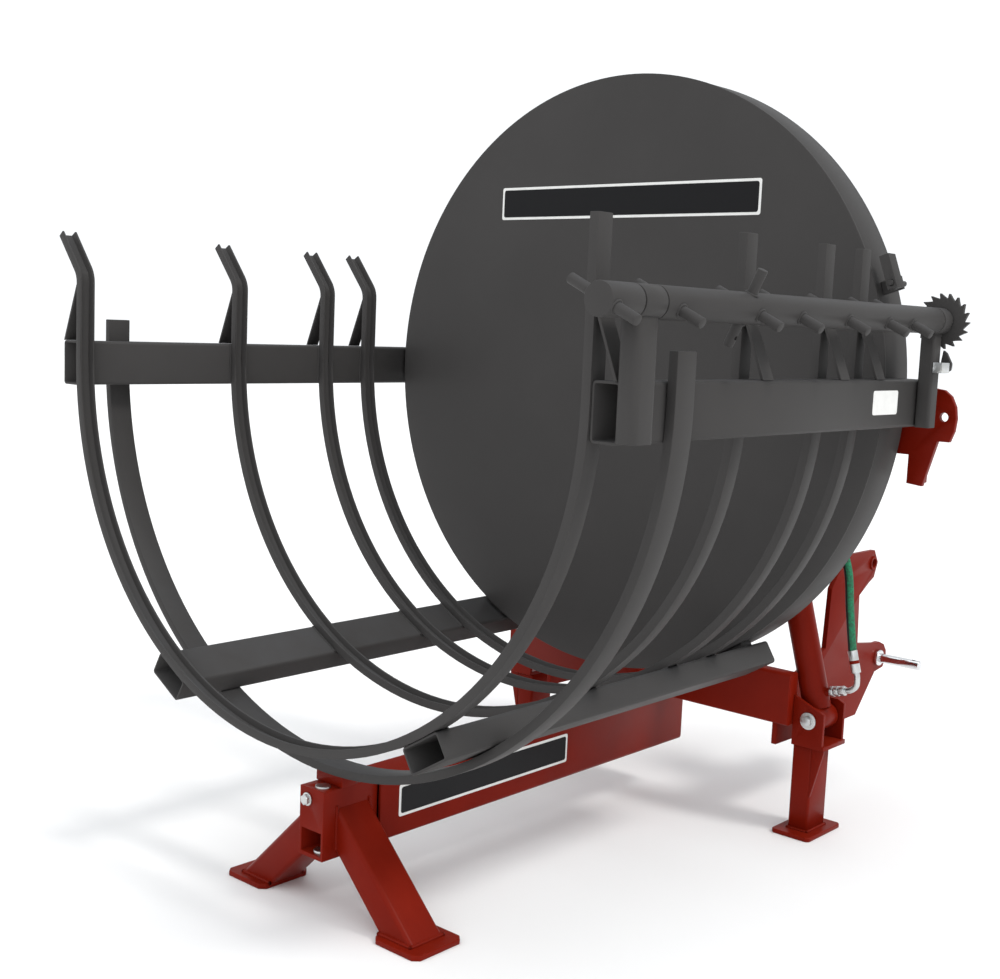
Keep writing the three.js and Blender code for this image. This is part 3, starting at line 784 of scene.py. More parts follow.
@dataclass
class Drum:
    """The round back plate, its rim, the channel ribs, the long tubes and the hoop."""

    shop: Workshop
    hub: Vector = field(default_factory=lambda: joint_point("drum_turn"))
    disc_round: int = 180
    rim_wall: float = 0.006
    rib_depth: float = 0.020
    rib_bend_height: float = 0.203
    rib_tip_rise: float = 0.098
    rib_wall: float = 0.005
    rib_bend: float = 0.045
    rail_wall: float = 0.005
    rail_corner: float = 0.008
    arc_steps: int = 72
    lower_angles: tuple = (240.8, 301.6)
    hoop_wall: float = 0.020
    hub_radius: float = 0.060
    hub_bore: float = 0.046
    flange_radius: float = 0.120
    flange_wall: float = 0.012
    arm_count: int = 6
    arm_turn: float = 43.5
    arm_reach: float = 0.7935
    arm_rise: float = 0.0557
    arm_taper: float = 0.05
    bolt_count: int = 8
    bolt_circle: float = 0.098
    pad_half: float = 0.038
    pad_proud: float = 0.0108

    def build(self) -> None:
        """Model and dress the whole drum."""
        self.back_plate()
        self.rim()
        self.spider()
        for index in range(1, 5):
            self.rib(index)
            self.straps(index)
        self.rails()
        self.hoop()
        self.lug()
        self.seams()

    def polar(self, radius: float, angle: float, along: float) -> Vector:
        """A point on a circle round the drum axis, in degrees from +X."""
        turn = math.radians(angle)
        return Vector((self.hub.x + radius * math.cos(turn), along, self.hub.z + radius * math.sin(turn)))

    def hub_bar(self, name: str, ends: Point, radius: float, sides: int) -> bpy.types.Object:
        """A round bar along the drum axis between two places."""
        start, end = ((self.hub.x, y, self.hub.z) for y in ends)
        return round_bar(name, start, end, radius, sides)

    def back_plate(self) -> None:
        """The flat round plate that the logs butt against."""
        low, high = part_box("disc_plate")
        radius = (high[0] - low[0]) / 2
        disc = self.hub_bar("disc", (low[1], high[1]), radius, self.disc_round)
        soften(disc, 0.0018, 3)
        self.shop.fit(disc, "back_plate", Body.DRUM, self.shop.finishes.grey, "disc_plate")

    def rim(self) -> None:
        """The rolled band behind the back plate, with the pads that hold the long tubes."""
        low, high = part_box("disc_rim")
        plate_low, plate_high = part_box("disc_plate")
        radius = (plate_high[0] - plate_low[0]) / 2
        band = self.hub_bar("band", (low[1] - 0.0003, high[1]), radius - 0.0006, self.disc_round)
        with editing(band):
            pick_faces(band, lambda centre, normal: abs(normal.y) > 0.9)
            bpy.ops.mesh.delete(type="FACE")
        modify(band, "SOLIDIFY", thickness=self.rim_wall, offset=-1)
        outward(band)
        soften(band, 0.001, 2)
        parts = [band]
        for angle in (0, 180, *self.lower_angles):
            pad = block("pad", (radius - 0.003, 0.012 + plate_low[1], -self.pad_half),
                        (radius + self.pad_proud, 0.058 + plate_low[1], self.pad_half))
            soften(pad, 0.0015)
            turned(pad, -angle, Axis.Y, (0, 0, 0))
            pad.location = (self.hub.x, 0, self.hub.z)
            parts.append(settle(pad))
        self.shop.fit(joined("rim", *parts), "rim_band", Body.DRUM, self.shop.finishes.grey, "disc_rim")

    def spider(self) -> None:
        """The hub tube with its stiffening arms on the back of the plate."""
        low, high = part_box("disc_spider")
        grey = self.shop.finishes.grey
        tube = self.hub_bar("tube", (low[1], high[1]), self.hub_radius, 96)
        cut(tube, self.hub_bar("bore", (low[1] + 0.02, high[1] + 0.05), self.hub_bore, 96))
        soften(tube, 0.0015, 2)
        flange = self.hub_bar("flange", (low[1], low[1] + self.flange_wall), self.flange_radius, 96)
        parts = [tube, soften(flange, 0.0015)]
        for index in range(self.arm_count):
            arm = block("arm", (0.055, low[1], -0.004), (self.arm_reach, low[1] + self.arm_rise, 0.004))
            with editing(arm):
                pick_edges(arm, lambda a, b: min(a.x, b.x) > 0.7 and min(a.y, b.y) > low[1] + 0.05)
                bpy.ops.transform.translate(value=(-self.arm_taper, 0, 0))
            soften(arm, 0.0012)
            turned(arm, -(self.arm_turn + index * 360 / self.arm_count), Axis.Y, (0, 0, 0))
            arm.location = (self.hub.x, 0, self.hub.z)
            parts.append(settle(arm))
        for index in range(self.bolt_count):
            step = 360 / self.bolt_count
            spot = self.polar(self.bolt_circle, step / 2 + index * step, low[1] + self.flange_wall)
            parts.append(hex_bolt("bolt", spot, (0, 1, 0), 0.022))
        self.shop.fit(joined("spider", *parts), "hub_spider", Body.DRUM, grey, "disc_spider")

    def channel_section(self, index: int) -> bpy.types.Object:
        """The U section of a rib, flat at the left end of its half circle.

        Args:
            index: Number of the rib, from the open end.

        Returns:
            The flat section.
        """
        low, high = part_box(f"rib_{index}")
        outer = high[0] - self.hub.x
        mid = (low[1] + high[1]) / 2
        half = (high[1] - low[1]) / 2
        wall, inner = self.rib_wall, outer - self.rib_depth
        root = wall * 1.4
        section = [(-outer, -half), (-inner, -half), (-inner, -half + wall), (-outer + wall, -half + root),
                   (-outer + wall, half - root), (-inner, half - wall), (-inner, half), (-outer, half)]
        points = [(self.hub.x + u, mid + v) for u, v in section]
        return sheet_outline("rib", points, Axis.Z, self.hub.z)

    def rib(self, index: int) -> None:
        """A channel rib: bent tip, straight run, half circle and straight right end.

        Args:
            index: Number of the rib, from the open end.
        """
        low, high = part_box(f"rib_{index}")
        outer = high[0] - self.hub.x
        piece = self.channel_section(index)
        centre = self.hub
        shift = low[0] + outer - self.hub.x
        reach = math.degrees(math.atan2(shift, self.rib_tip_rise))
        ease = self.rib_bend * math.tan(math.radians(-reach / 2))
        with editing(piece):
            bpy.ops.mesh.select_all(action="SELECT")
            bpy.ops.mesh.spin(steps=self.arc_steps, angle=math.pi, center=centre, axis=(0, 1, 0))
            bpy.ops.mesh.extrude_region_move(
                TRANSFORM_OT_translate={"value": (0, 0, high[2] - self.hub.z)})
        with editing(piece):
            bpy.ops.mesh.select_mode(type="EDGE")
            pick_edges(piece, lambda a, b: a.x < centre.x and b.x < centre.x
                       and abs(a.z - centre.z) < 1e-5 and abs(b.z - centre.z) < 1e-5)
            start = self.rib_bend_height - ease
            bpy.ops.mesh.extrude_edges_move(TRANSFORM_OT_translate={"value": (0, 0, start)})
            pivot = (centre.x - outer - self.rib_bend, centre.y, centre.z + start)
            bpy.ops.mesh.spin(steps=6, angle=math.radians(-reach), center=pivot, axis=(0, 1, 0))
            run = math.hypot(shift, self.rib_tip_rise) - ease
            lean = math.radians(reach)
            bpy.ops.mesh.extrude_edges_move(
                TRANSFORM_OT_translate={"value": (math.sin(lean) * run, 0, math.cos(lean) * run)})
        with editing(piece):
            bpy.ops.mesh.select_all(action="SELECT")
            bpy.ops.mesh.remove_doubles(threshold=MERGE)
            bpy.ops.mesh.fill_holes(sides=0)
        outward(piece)
        soften(piece, 0.0011, 2, 40)
        self.shop.fit(piece, f"channel_rib_{index}", Body.DRUM, self.shop.finishes.grey, f"rib_{index}")

    def straps(self, index: int) -> None:
        """The inclined flat bars between a rib and the upper tubes."""
        for side in ("left", "right"):
            self.shop.rounded_copy(f"{side}_gusset_{index}", f"{side}_strap_{index}", Body.DRUM,
                                   self.shop.finishes.grey, 0.0009)

    def rails(self) -> None:
        """The four long rectangular tubes outside the ribs."""
        grey = self.shop.finishes.grey
        for side in ("left", "right"):
            low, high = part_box(f"{side}_rail")
            tube = box_tube("tube", low, high, Axis.Y, self.rail_wall, self.rail_corner)
            self.shop.fit(tube, f"{side}_tube", Body.DRUM, grey, f"{side}_rail")
        low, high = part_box("right_rail")
        shift = (low[2] + high[2]) / 2 - self.hub.z
        for side, angle in zip(("left", "right"), self.lower_angles):
            ends = [corner[1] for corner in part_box(f"lower_{side}_rail")]
            tube = box_tube("tube", (low[0], ends[0], low[2] - shift), (high[0], ends[1], high[2] - shift),
                            Axis.Y, self.rail_wall, self.rail_corner)
            turned(tube, -angle, Axis.Y, self.hub)
            self.shop.fit(tube, f"lower_{side}_tube", Body.DRUM, grey, f"lower_{side}_rail")

    def hoop(self) -> None:
        """The flat band outside the tubes near the open end."""
        low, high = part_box("track_hoop")
        outer = (high[0] - low[0]) / 2
        inner = outer - self.hoop_wall
        points = [(self.hub.x - outer, low[1]), (self.hub.x - inner, low[1]),
                  (self.hub.x - inner, high[1]), (self.hub.x - outer, high[1])]
        band = sheet_outline("hoop", points, Axis.Z, self.hub.z)
        stub = high[2] - self.hub.z
        with editing(band):
            bpy.ops.mesh.select_all(action="SELECT")
            bpy.ops.mesh.spin(steps=self.arc_steps, angle=math.pi, center=self.hub, axis=(0, 1, 0))
            bpy.ops.mesh.extrude_region_move(TRANSFORM_OT_translate={"value": (0, 0, stub)})
        with editing(band):
            pick_edges(band, lambda a, b: a.x < self.hub.x and b.x < self.hub.x
                       and abs(a.z - self.hub.z) < 1e-5 and abs(b.z - self.hub.z) < 1e-5)
            bpy.ops.mesh.extrude_edges_move(TRANSFORM_OT_translate={"value": (0, 0, stub)})
        with editing(band):
            bpy.ops.mesh.select_all(action="SELECT")
            bpy.ops.mesh.remove_doubles(threshold=MERGE)
            bpy.ops.mesh.fill_holes(sides=0)
        outward(band)
        soften(band, 0.002, 2, 40)
        self.shop.fit(band, "stiffening_hoop", Body.DRUM, self.shop.finishes.grey, "track_hoop")

    def lug(self) -> None:
        """The arm on the back of the drum that takes the cylinder's rod eye."""
        self.shop.rounded_copy("cylinder_lug", "rod_lug", Body.DRUM, self.shop.finishes.grey, 0.002)

    def seams(self) -> None:
        """Weld seams where the ribs meet the tubes."""
        beads = []
        for index in range(1, 5):
            low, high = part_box(f"rib_{index}")
            outer = high[0] - self.hub.x
            rail_low, rail_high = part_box("right_rail")
            for y in (low[1] - 0.0008, high[1] + 0.0008):
                if y < rail_low[1]:
                    continue
                for side in (-1, 1):
                    x = self.hub.x + side * outer
                    start, end = (x, y, rail_low[2] + 0.006), (x, y, rail_high[2] - 0.006)
                    beads.append(weld_line(start, end, 0.003))
                for angle in self.lower_angles:
                    start = self.polar(outer + 0.002, angle - 3.5, y)
                    end = self.polar(outer + 0.002, angle + 3.5, y)
                    beads.append(weld_line(start, end, 0.003))
        self.shop.fit(joined("seams", *beads), "drum_weld_seams", Body.DRUM, self.shop.finishes.grey)


# ---- tension shaft, ratchet and latch ----------------------------------------------


@dataclass
class TensionGear:
    """The strap-tension shaft with its pegs, its posts, the ratchet, the pawl and the rim latch."""

    shop: Workshop
    axis: Vector = field(default_factory=lambda: joint_point("shaft_turn"))
    radius: float = 0.030
    peg_radius: float = 0.010
    peg_reach: float = 0.078
    peg_tilt: float = -25.0
    teeth: int = 18
    tip_radius: float = 0.065
    root_radius: float = 0.052
    sleeve_bore: float = 0.0205
    journal_radius: float = 0.019
    lid_wall: float = 0.004
    post_wall: float = 0.005
    cross_peg: float = 0.447
    peg_gaps_mm: tuple = (14, 200, 459, 612, 804, 982, 1098)

    def build(self) -> None:
        """Model and dress the whole gear."""
        self.posts()
        self.shaft()
        self.ratchet()
        self.small_parts()

    def along(self, y: float, reach: float = 0.0, angle: float = 0.0) -> Vector:
        """A point beside the shaft axis."""
        turn = math.radians(angle)
        return Vector((self.axis.x + reach * math.cos(turn), y, self.axis.z + reach * math.sin(turn)))

    def posts(self) -> None:
        """The two posts with the bearing sleeves on top."""
        grey = self.shop.finishes.grey
        rail_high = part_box("right_rail")[1]
        for place, width, corner in (("near", 0.0454, 0.014), ("far", 0.036, 0.007)):
            low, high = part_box(f"{place}_post")
            x0 = rail_high[0] + 0.0003
            post = box_tube("post", (x0, low[1], low[2]), (x0 + width, high[1], self.axis.z - 0.018),
                            Axis.Z, self.post_wall, corner)
            sleeve = round_bar("sleeve", self.along(low[1]), self.along(high[1]), self.radius, 64)
            cut(sleeve, round_bar("bore", self.along(low[1] - 0.02), self.along(high[1] + 0.02),
                                  self.sleeve_bore, 64))
            soften(sleeve, 0.0015, 2)
            base, inset = low[2] + 0.0005, 0.004
            lid = block("lid", (x0 + inset, low[1] + inset, base),
                        (x0 + width - inset, high[1] - inset, base + self.lid_wall))
            self.shop.fit(joined("post", post, sleeve, lid), f"{place}_bearing_post", Body.DRUM, grey,
                          f"{place}_post")

    def peg(self, y: float, tilt: float) -> bpy.types.Object:
        """One round peg through the shaft.

        Args:
            y: Where it stands along the shaft.
            tilt: Degrees from +X.

        Returns:
            The peg.
        """
        ends = [self.along(y, self.peg_reach, tilt), self.along(y, -self.peg_reach, tilt)]
        return soften(round_bar("peg", *ends, self.peg_radius, 32), 0.0014, 2)

    def peg_places(self) -> list[float]:
        """Where the pegs stand along the shaft."""
        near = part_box("tension_shaft")[0][1]
        return [near + gap * MM for gap in self.peg_gaps_mm]

    def shaft(self) -> None:
        """The tube with its journals and pegs."""
        low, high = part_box("tension_shaft")
        near_low, near_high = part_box("near_post")
        far_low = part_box("far_post")[0]
        runs = [(low[1], near_low[1] - 0.003), (near_high[1] + 0.003, far_low[1] - 0.003)]
        parts = [soften(round_bar("run", self.along(a), self.along(b), self.radius, 64), 0.0016, 2)
                 for a, b in runs]
        journal = round_bar("journal", self.along(near_low[1] - 0.01), self.along(high[1]),
                            self.journal_radius, 48)
        parts.append(soften(journal, 0.0012))
        parts += [self.peg(y, self.peg_tilt) for y in self.peg_places()]
        crossing = low[1] + self.cross_peg
        cross = self.peg(crossing, self.peg_tilt + 90)
        hole = self.along(crossing, -self.peg_reach + 0.016, self.peg_tilt + 90)
        cut(cross, round_bar("hole", hole - Vector((0.03, 0, 0)), hole + Vector((0.03, 0, 0)), 0.0042, 24))
        parts.append(cross)
        for y in self.peg_places():
            parts.append(self.peg_weld(y, self.peg_tilt))
        parts.append(self.peg_weld(crossing, self.peg_tilt + 90))
        self.shop.fit(joined("shaft", *parts), "peg_shaft", Body.SHAFT, self.shop.finishes.grey,
                      "tension_shaft")

    def peg_weld(self, y: float, tilt: float) -> bpy.types.Object:
        """Small weld rings where a peg leaves the shaft.

        Args:
            y: Where the peg stands along the shaft.
            tilt: Degrees from +X.

        Returns:
            Both rings as one object.
        """
        rings = []
        for side in (1, -1):
            start_clean()
            place = self.along(y, side * (self.radius - 0.0005), tilt)
            bpy.ops.mesh.primitive_torus_add(location=place, rotation=(0, math.radians(90 - tilt), 0),
                                             major_radius=self.peg_radius + 0.0012, minor_radius=0.0026,
                                             major_segments=28, minor_segments=8)
            rings.append(settle(bpy.context.object))
            bpy.ops.object.shade_smooth()
        return joined("ring", *rings)

    def ratchet(self) -> None:
        """The saw-toothed wheel at the far end, with its hub nut."""
        low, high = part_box("ratchet_wheel")
        points = []
        for tooth in range(self.teeth):
            start = 360 * tooth / self.teeth
            for share, reach in ((0, self.root_radius), (0.5, self.root_radius + 0.0052),
                                 (0.92, self.tip_radius), (0.985, self.tip_radius - 0.0012)):
                spot = self.along(0, reach, start + share * 360 / self.teeth)
                points.append((spot.x, spot.z))
        wheel = soften(plate("wheel", points, Axis.Y, (low[1], high[1])), 0.0006, 1, 40)
        boss = round_bar("boss", self.along(low[1] - 0.004), self.along(high[1] + 0.006), 0.024, 48)
        soften(boss, 0.0012)
        nut = round_bar("nut", self.along(high[1] + 0.0055), self.along(high[1] + 0.0118), 0.017, 6)
        soften(nut, 0.001)
        self.shop.fit(joined("ratchet", wheel, boss, nut), "ratchet_teeth", Body.SHAFT,
                      self.shop.finishes.grey, "ratchet_wheel")

    def small_parts(self) -> None:
        """The pawl with its bolt and the latch on the rim."""
        grey, zinc = self.shop.finishes.grey, self.shop.finishes.zinc
        self.shop.rounded_copy("pawl", "pawl_finger", Body.PAWL, grey, 0.0008)
        self.shop.rounded_copy("pawl_bolt", "pawl_stud", Body.DRUM, zinc, 0.0008)
        self.shop.rounded_copy("latch_bracket", "latch_seat", Body.DRUM, grey, 0.001)
        self.shop.rounded_copy("latch_lever", "latch_handle", Body.LATCH, grey, 0.0025)


# ---- red floor frame ---------------------------------------------------------------


@dataclass
class FloorFrame:
    """Main beam, head, legs, crossbeam, hitch plates, mast and brackets."""

    shop: Workshop
    beam_wall: float = 0.008
    beam_corner: float = 0.012
    leg_wall: float = 0.006
    leg_corner: float = 0.011
    leg_tilt: float = 45.6
    leg_half: float = 0.0375
    foot_reach: float = 0.238
    rear_leg_width: float = 0.060
    pin_radius: float = 0.01425
    eye_ahead: float = 0.18935
    eye_height: float = 0.690

    def build(self) -> None:
        """Model and dress the whole frame."""
        self.beams()
        self.head()
        for side in (-1, 1):
            self.front_leg(side)
            self.rear_leg(side)
        self.feet()
        self.hitch()
        self.brackets()
        self.seams()

    def beams(self) -> None:
        """The long beam, the crossbeam and the mast."""
        red = self.shop.finishes.red
        low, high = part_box("main_beam")
        self.shop.fit(box_tube("beam", low, high, Axis.Y, self.beam_wall, self.beam_corner), "long_beam",
                      Body.FRAME, red, "main_beam")
        low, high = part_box("rear_crossbeam")
        beam = [box_tube("beam", low, high, Axis.X, 0.006, 0.009)]
        for x in (low[0] + 0.0006, high[0] - 0.0046):
            beam.append(soften(block("cap", (x, low[1] + 0.002, low[2] + 0.002),
                                     (x + 0.004, high[1] - 0.002, high[2] - 0.002)), 0.0012))
        self.shop.fit(joined("beam", *beam), "cross_beam", Body.FRAME, red, "rear_crossbeam")
        low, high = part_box("mast")
        hub = joint_point("drum_turn")
        column = box_tube("mast", low, high, Axis.Z, self.beam_wall, self.beam_corner)
        seat = round_bar("seat", (hub.x, low[1] - 0.02, hub.z), (hub.x, high[1] + 0.02, hub.z), 0.0863, 96)
        cut(column, seat)
        self.shop.fit(column, "mast_column", Body.FRAME, red, "mast")

    def head(self) -> None:
        """The front box with its pocket, bolt, plugs and the hoop saddle."""
        red, zinc = self.shop.finishes.red, self.shop.finishes.zinc
        self.shop.rounded_copy("head_box", "front_box", Body.FRAME, red, 0.0022)
        self.shop.rounded_copy("hoop_saddle", "hoop_seat", Body.FRAME, red, 0.002)
        low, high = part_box("head_bolt")
        centre = ((low[0] + high[0]) / 2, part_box("head_box")[0][1] - 0.0002, (low[2] + high[2]) / 2)
        bolt = hex_bolt("bolt", centre, (0, -1, 0), 0.025, 0.0152)
        self.shop.fit(bolt, "box_bolt", Body.FRAME, zinc, "head_bolt")
        for node, name in (("head_plug_top", "top_plug"), ("head_plug_bottom", "bottom_plug")):
            self.shop.rounded_copy(node, name, Body.FRAME, zinc, 0.002)

    def front_leg(self, side: int) -> None:
        """A splayed leg of rectangular tube, cut square to the box and to the floor.

        Args:
            side: Minus one for the left leg, one for the right.
        """
        name = "front_leg_right" if side > 0 else "front_leg_left"
        low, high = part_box(name)
        centre_x = (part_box("head_box")[0][0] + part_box("head_box")[1][0]) / 2
        near = min(abs(low[0] - centre_x), abs(high[0] - centre_x))
        mid_y = (low[1] + high[1]) / 2
        depth = (high[1] - low[1]) / 2
        tube = box_tube("leg", (-self.leg_half, mid_y - depth, -0.15), (self.leg_half, mid_y + depth, 0.5),
                        Axis.Z, self.leg_wall, self.leg_corner)
        turned(tube, -self.leg_tilt, Axis.Y, (0, mid_y, 0))
        tube.location = (self.foot_reach, 0, low[2])
        settle(tube)
        for plane, way in (((0, 0, low[2]), (0, 0, -1)), ((near, 0, 0), (-1, 0, 0))):
            with editing(tube):
                bpy.ops.mesh.select_all(action="SELECT")
                bpy.ops.mesh.bisect(plane_co=plane, plane_no=way, clear_outer=True, use_fill=False)
        if side < 0:
            tube.scale.x = -1
            settle(tube)
            outward(tube)
        tube.location.x = centre_x
        settle(tube)
        choose(tube)
        bpy.ops.object.shade_smooth_by_angle(angle=math.radians(35))
        self.shop.fit(tube, f"{name}_tube", Body.FRAME, self.shop.finishes.red, name)

    def rear_leg(self, side: int) -> None:
        """A straight rear leg with the small fin under its cap.

        Args:
            side: Minus one for the left leg, one for the right.
        """
        name = "rear_leg_right" if side > 0 else "rear_leg_left"
        low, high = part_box(name)
        width = self.rear_leg_width
        x = (low[0], low[0] + width) if side > 0 else (high[0] - width, high[0])
        tube = box_tube("leg", (x[0], low[1], low[2]), (x[1], high[1], high[2]), Axis.Z, 0.005, 0.008)
        mid_y = (low[1] + high[1]) / 2
        root, tip = (x[1] - 0.002, high[0]) if side > 0 else (x[0] + 0.002, low[0])
        points = [(root, high[2]), (tip, high[2]), (tip, high[2] - 0.010), (root, high[2] - 0.146)]
        fin = soften(plate("fin", points, Axis.Y, (mid_y - 0.0493, mid_y - 0.0395)), 0.001)
        self.shop.fit(joined("leg", tube, fin), f"{name}_tube", Body.FRAME, self.shop.finishes.red, name)

    def feet(self) -> None:
        """The four foot plates."""
        for place in ("front", "rear"):
            for side in ("left", "right"):
                node = f"{place}_foot_{side}"
                self.shop.rounded_copy(node, f"{node}_plate", Body.FRAME, self.shop.finishes.red, 0.002)

    def hitch(self) -> None:
        """Side plates with bushes, the lower link pins and the top link cheeks."""
        red, chrome = self.shop.finishes.red, self.shop.finishes.chrome
        for side, sign in (("left", -1), ("right", 1)):
            node = f"side_plate_{side}"
            self.shop.rounded_copy(node, f"hitch_plate_{side}", Body.FRAME, red, 0.002)
            low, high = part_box(node)
            eye = (low[1] + high[1]) / 2 + self.eye_ahead, self.eye_height
            bush = round_bar("bush", (low[0] - 0.004, *eye), (high[0] + 0.004, *eye), 0.0197, 64)
            cut(bush, round_bar("bore", (low[0] - 0.02, *eye), (high[0] + 0.02, *eye), 0.0135, 48))
            self.shop.fit(soften(bush, 0.001), f"link_bush_{side}", Body.FRAME, red)
            self.link_pin(side, sign, chrome)
        self.shop.rounded_copy("top_link_bracket", "top_link_cheeks", Body.FRAME, red, 0.002)

    def link_pin(self, side: str, sign: int, chrome: bpy.types.Material) -> None:
        """A lower link pin with its collar and the hole for the linch pin.

        Args:
            side: Which pin, left or right.
            sign: Minus one on the left, one on the right.
            chrome: The pin's finish.
        """
        low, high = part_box(f"link_pin_{side}")
        y, z = (low[1] + high[1]) / 2, (low[2] + high[2]) / 2
        root, tip = (low[0], high[0]) if sign > 0 else (high[0], low[0])
        pin = soften(round_bar("pin", (root, y, z), (tip, y, z), self.pin_radius, 64), 0.003, 3)
        at = tip - sign * 0.020
        cut(pin, round_bar("hole", (at, y, z - 0.03), (at, y, z + 0.03), 0.006, 32))
        collar = soften(round_bar("collar", (root, y, z), (root + sign * 0.012, y, z), 0.024, 64), 0.002, 2)
        nut = round_bar("nut", (root - sign * 0.0158, y, z), (root - sign * 0.034, y, z), 0.024, 6)
        soften(nut, 0.0015)
        self.shop.fit(joined("pin", pin, collar, nut), f"hitch_pin_{side}", Body.FRAME, chrome,
                      f"link_pin_{side}")

    def brackets(self) -> None:
        """The clevis, the cap of the left leg, the clevis pin, the hub ring and the stop arm."""
        red = self.shop.finishes.red
        self.shop.rounded_copy("cylinder_clevis", "cylinder_fork", Body.FRAME, red, 0.0018)
        self.shop.rounded_copy("left_leg_cap", "left_leg_head", Body.FRAME, red, 0.0018)
        self.shop.rounded_copy("stop_bracket", "stop_arm", Body.FRAME, red, 0.002)
        low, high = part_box("hub_housing")
        hub = joint_point("drum_turn")
        ring = round_bar("ring", (hub.x, low[1], hub.z), (hub.x, high[1], hub.z), 0.086, 96)
        cut(ring, round_bar("bore", (hub.x, low[1] - 0.02, hub.z), (hub.x, high[1] + 0.02, hub.z), 0.061, 96))
        self.shop.fit(soften(ring, 0.002), "hub_ring", Body.FRAME, red, "hub_housing")
        low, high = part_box("clevis_pin")
        pivot = joint_point("cylinder_swing")
        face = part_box("cylinder_clevis")
        pin = round_bar("pin", (pivot.x, low[1] + 0.004, pivot.z), (pivot.x, high[1], pivot.z), 0.014)
        parts = [soften(pin, 0.002),
                 hex_bolt("head", (pivot.x, face[0][1] - 0.0003, pivot.z), (0, -1, 0), 0.030, 0.0235),
                 hex_bolt("nut", (pivot.x, face[1][1] + 0.0003, pivot.z), (0, 1, 0), 0.034, 0.020)]
        self.shop.fit(joined("pin", *parts), "fork_bolt", Body.FRAME, self.shop.finishes.zinc, "clevis_pin")

    def rectangle_seam(self, low: Point, high: Point, z: float, radius: float) -> list[bpy.types.Object]:
        """Weld beads round a rectangle that lies flat.

        Args:
            low: Lowest corner, X and Y.
            high: Highest corner, X and Y.
            z: Height of the seam.
            radius: Half the width of the bead.

        Returns:
            The four beads.
        """
        corners = [(low[0], low[1], z), (high[0], low[1], z), (high[0], high[1], z), (low[0], high[1], z)]
        return [weld_line(a, b, radius) for a, b in zip(corners, corners[1:] + corners[:1])]

    def seams(self) -> None:
        """Weld seams round the legs, the head and the hitch plates."""
        beads = []
        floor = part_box("front_foot_right")[1][2]
        for side in ("left", "right"):
            low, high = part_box(f"front_leg_{side}")
            middle = (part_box("head_box")[0][0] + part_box("head_box")[1][0]) / 2
            reach = 0.098
            outer = high[0] if side == "right" else low[0] + reach
            inner = outer - reach
            beads += self.rectangle_seam((inner, low[1]), (outer, high[1]), floor + 0.001, 0.0055)
            sign = 1 if side == "right" else -1
            x = middle + sign * 0.0405
            beads += [weld_line((x, y, 0.165), (x, y, 0.262), 0.004) for y in (low[1], high[1])]
            low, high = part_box(f"rear_leg_{side}")
            width = self.rear_leg_width
            pair = (low[0], low[0] + width) if side == "right" else (high[0] - width, high[0])
            beads += self.rectangle_seam((pair[0], low[1]), (pair[1], high[1]), floor + 0.001, 0.0045)
            low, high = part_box(f"side_plate_{side}")
            for x in (low[0] - 0.001, high[0] + 0.001):
                beads.append(weld_line((x, low[1], 0.312), (x, low[1], 0.415), 0.004))
        self.shop.fit(joined("seams", *beads), "frame_weld_seams", Body.FRAME, self.shop.finishes.red)


# ---- hydraulic cylinder ------------------------------------------------------------


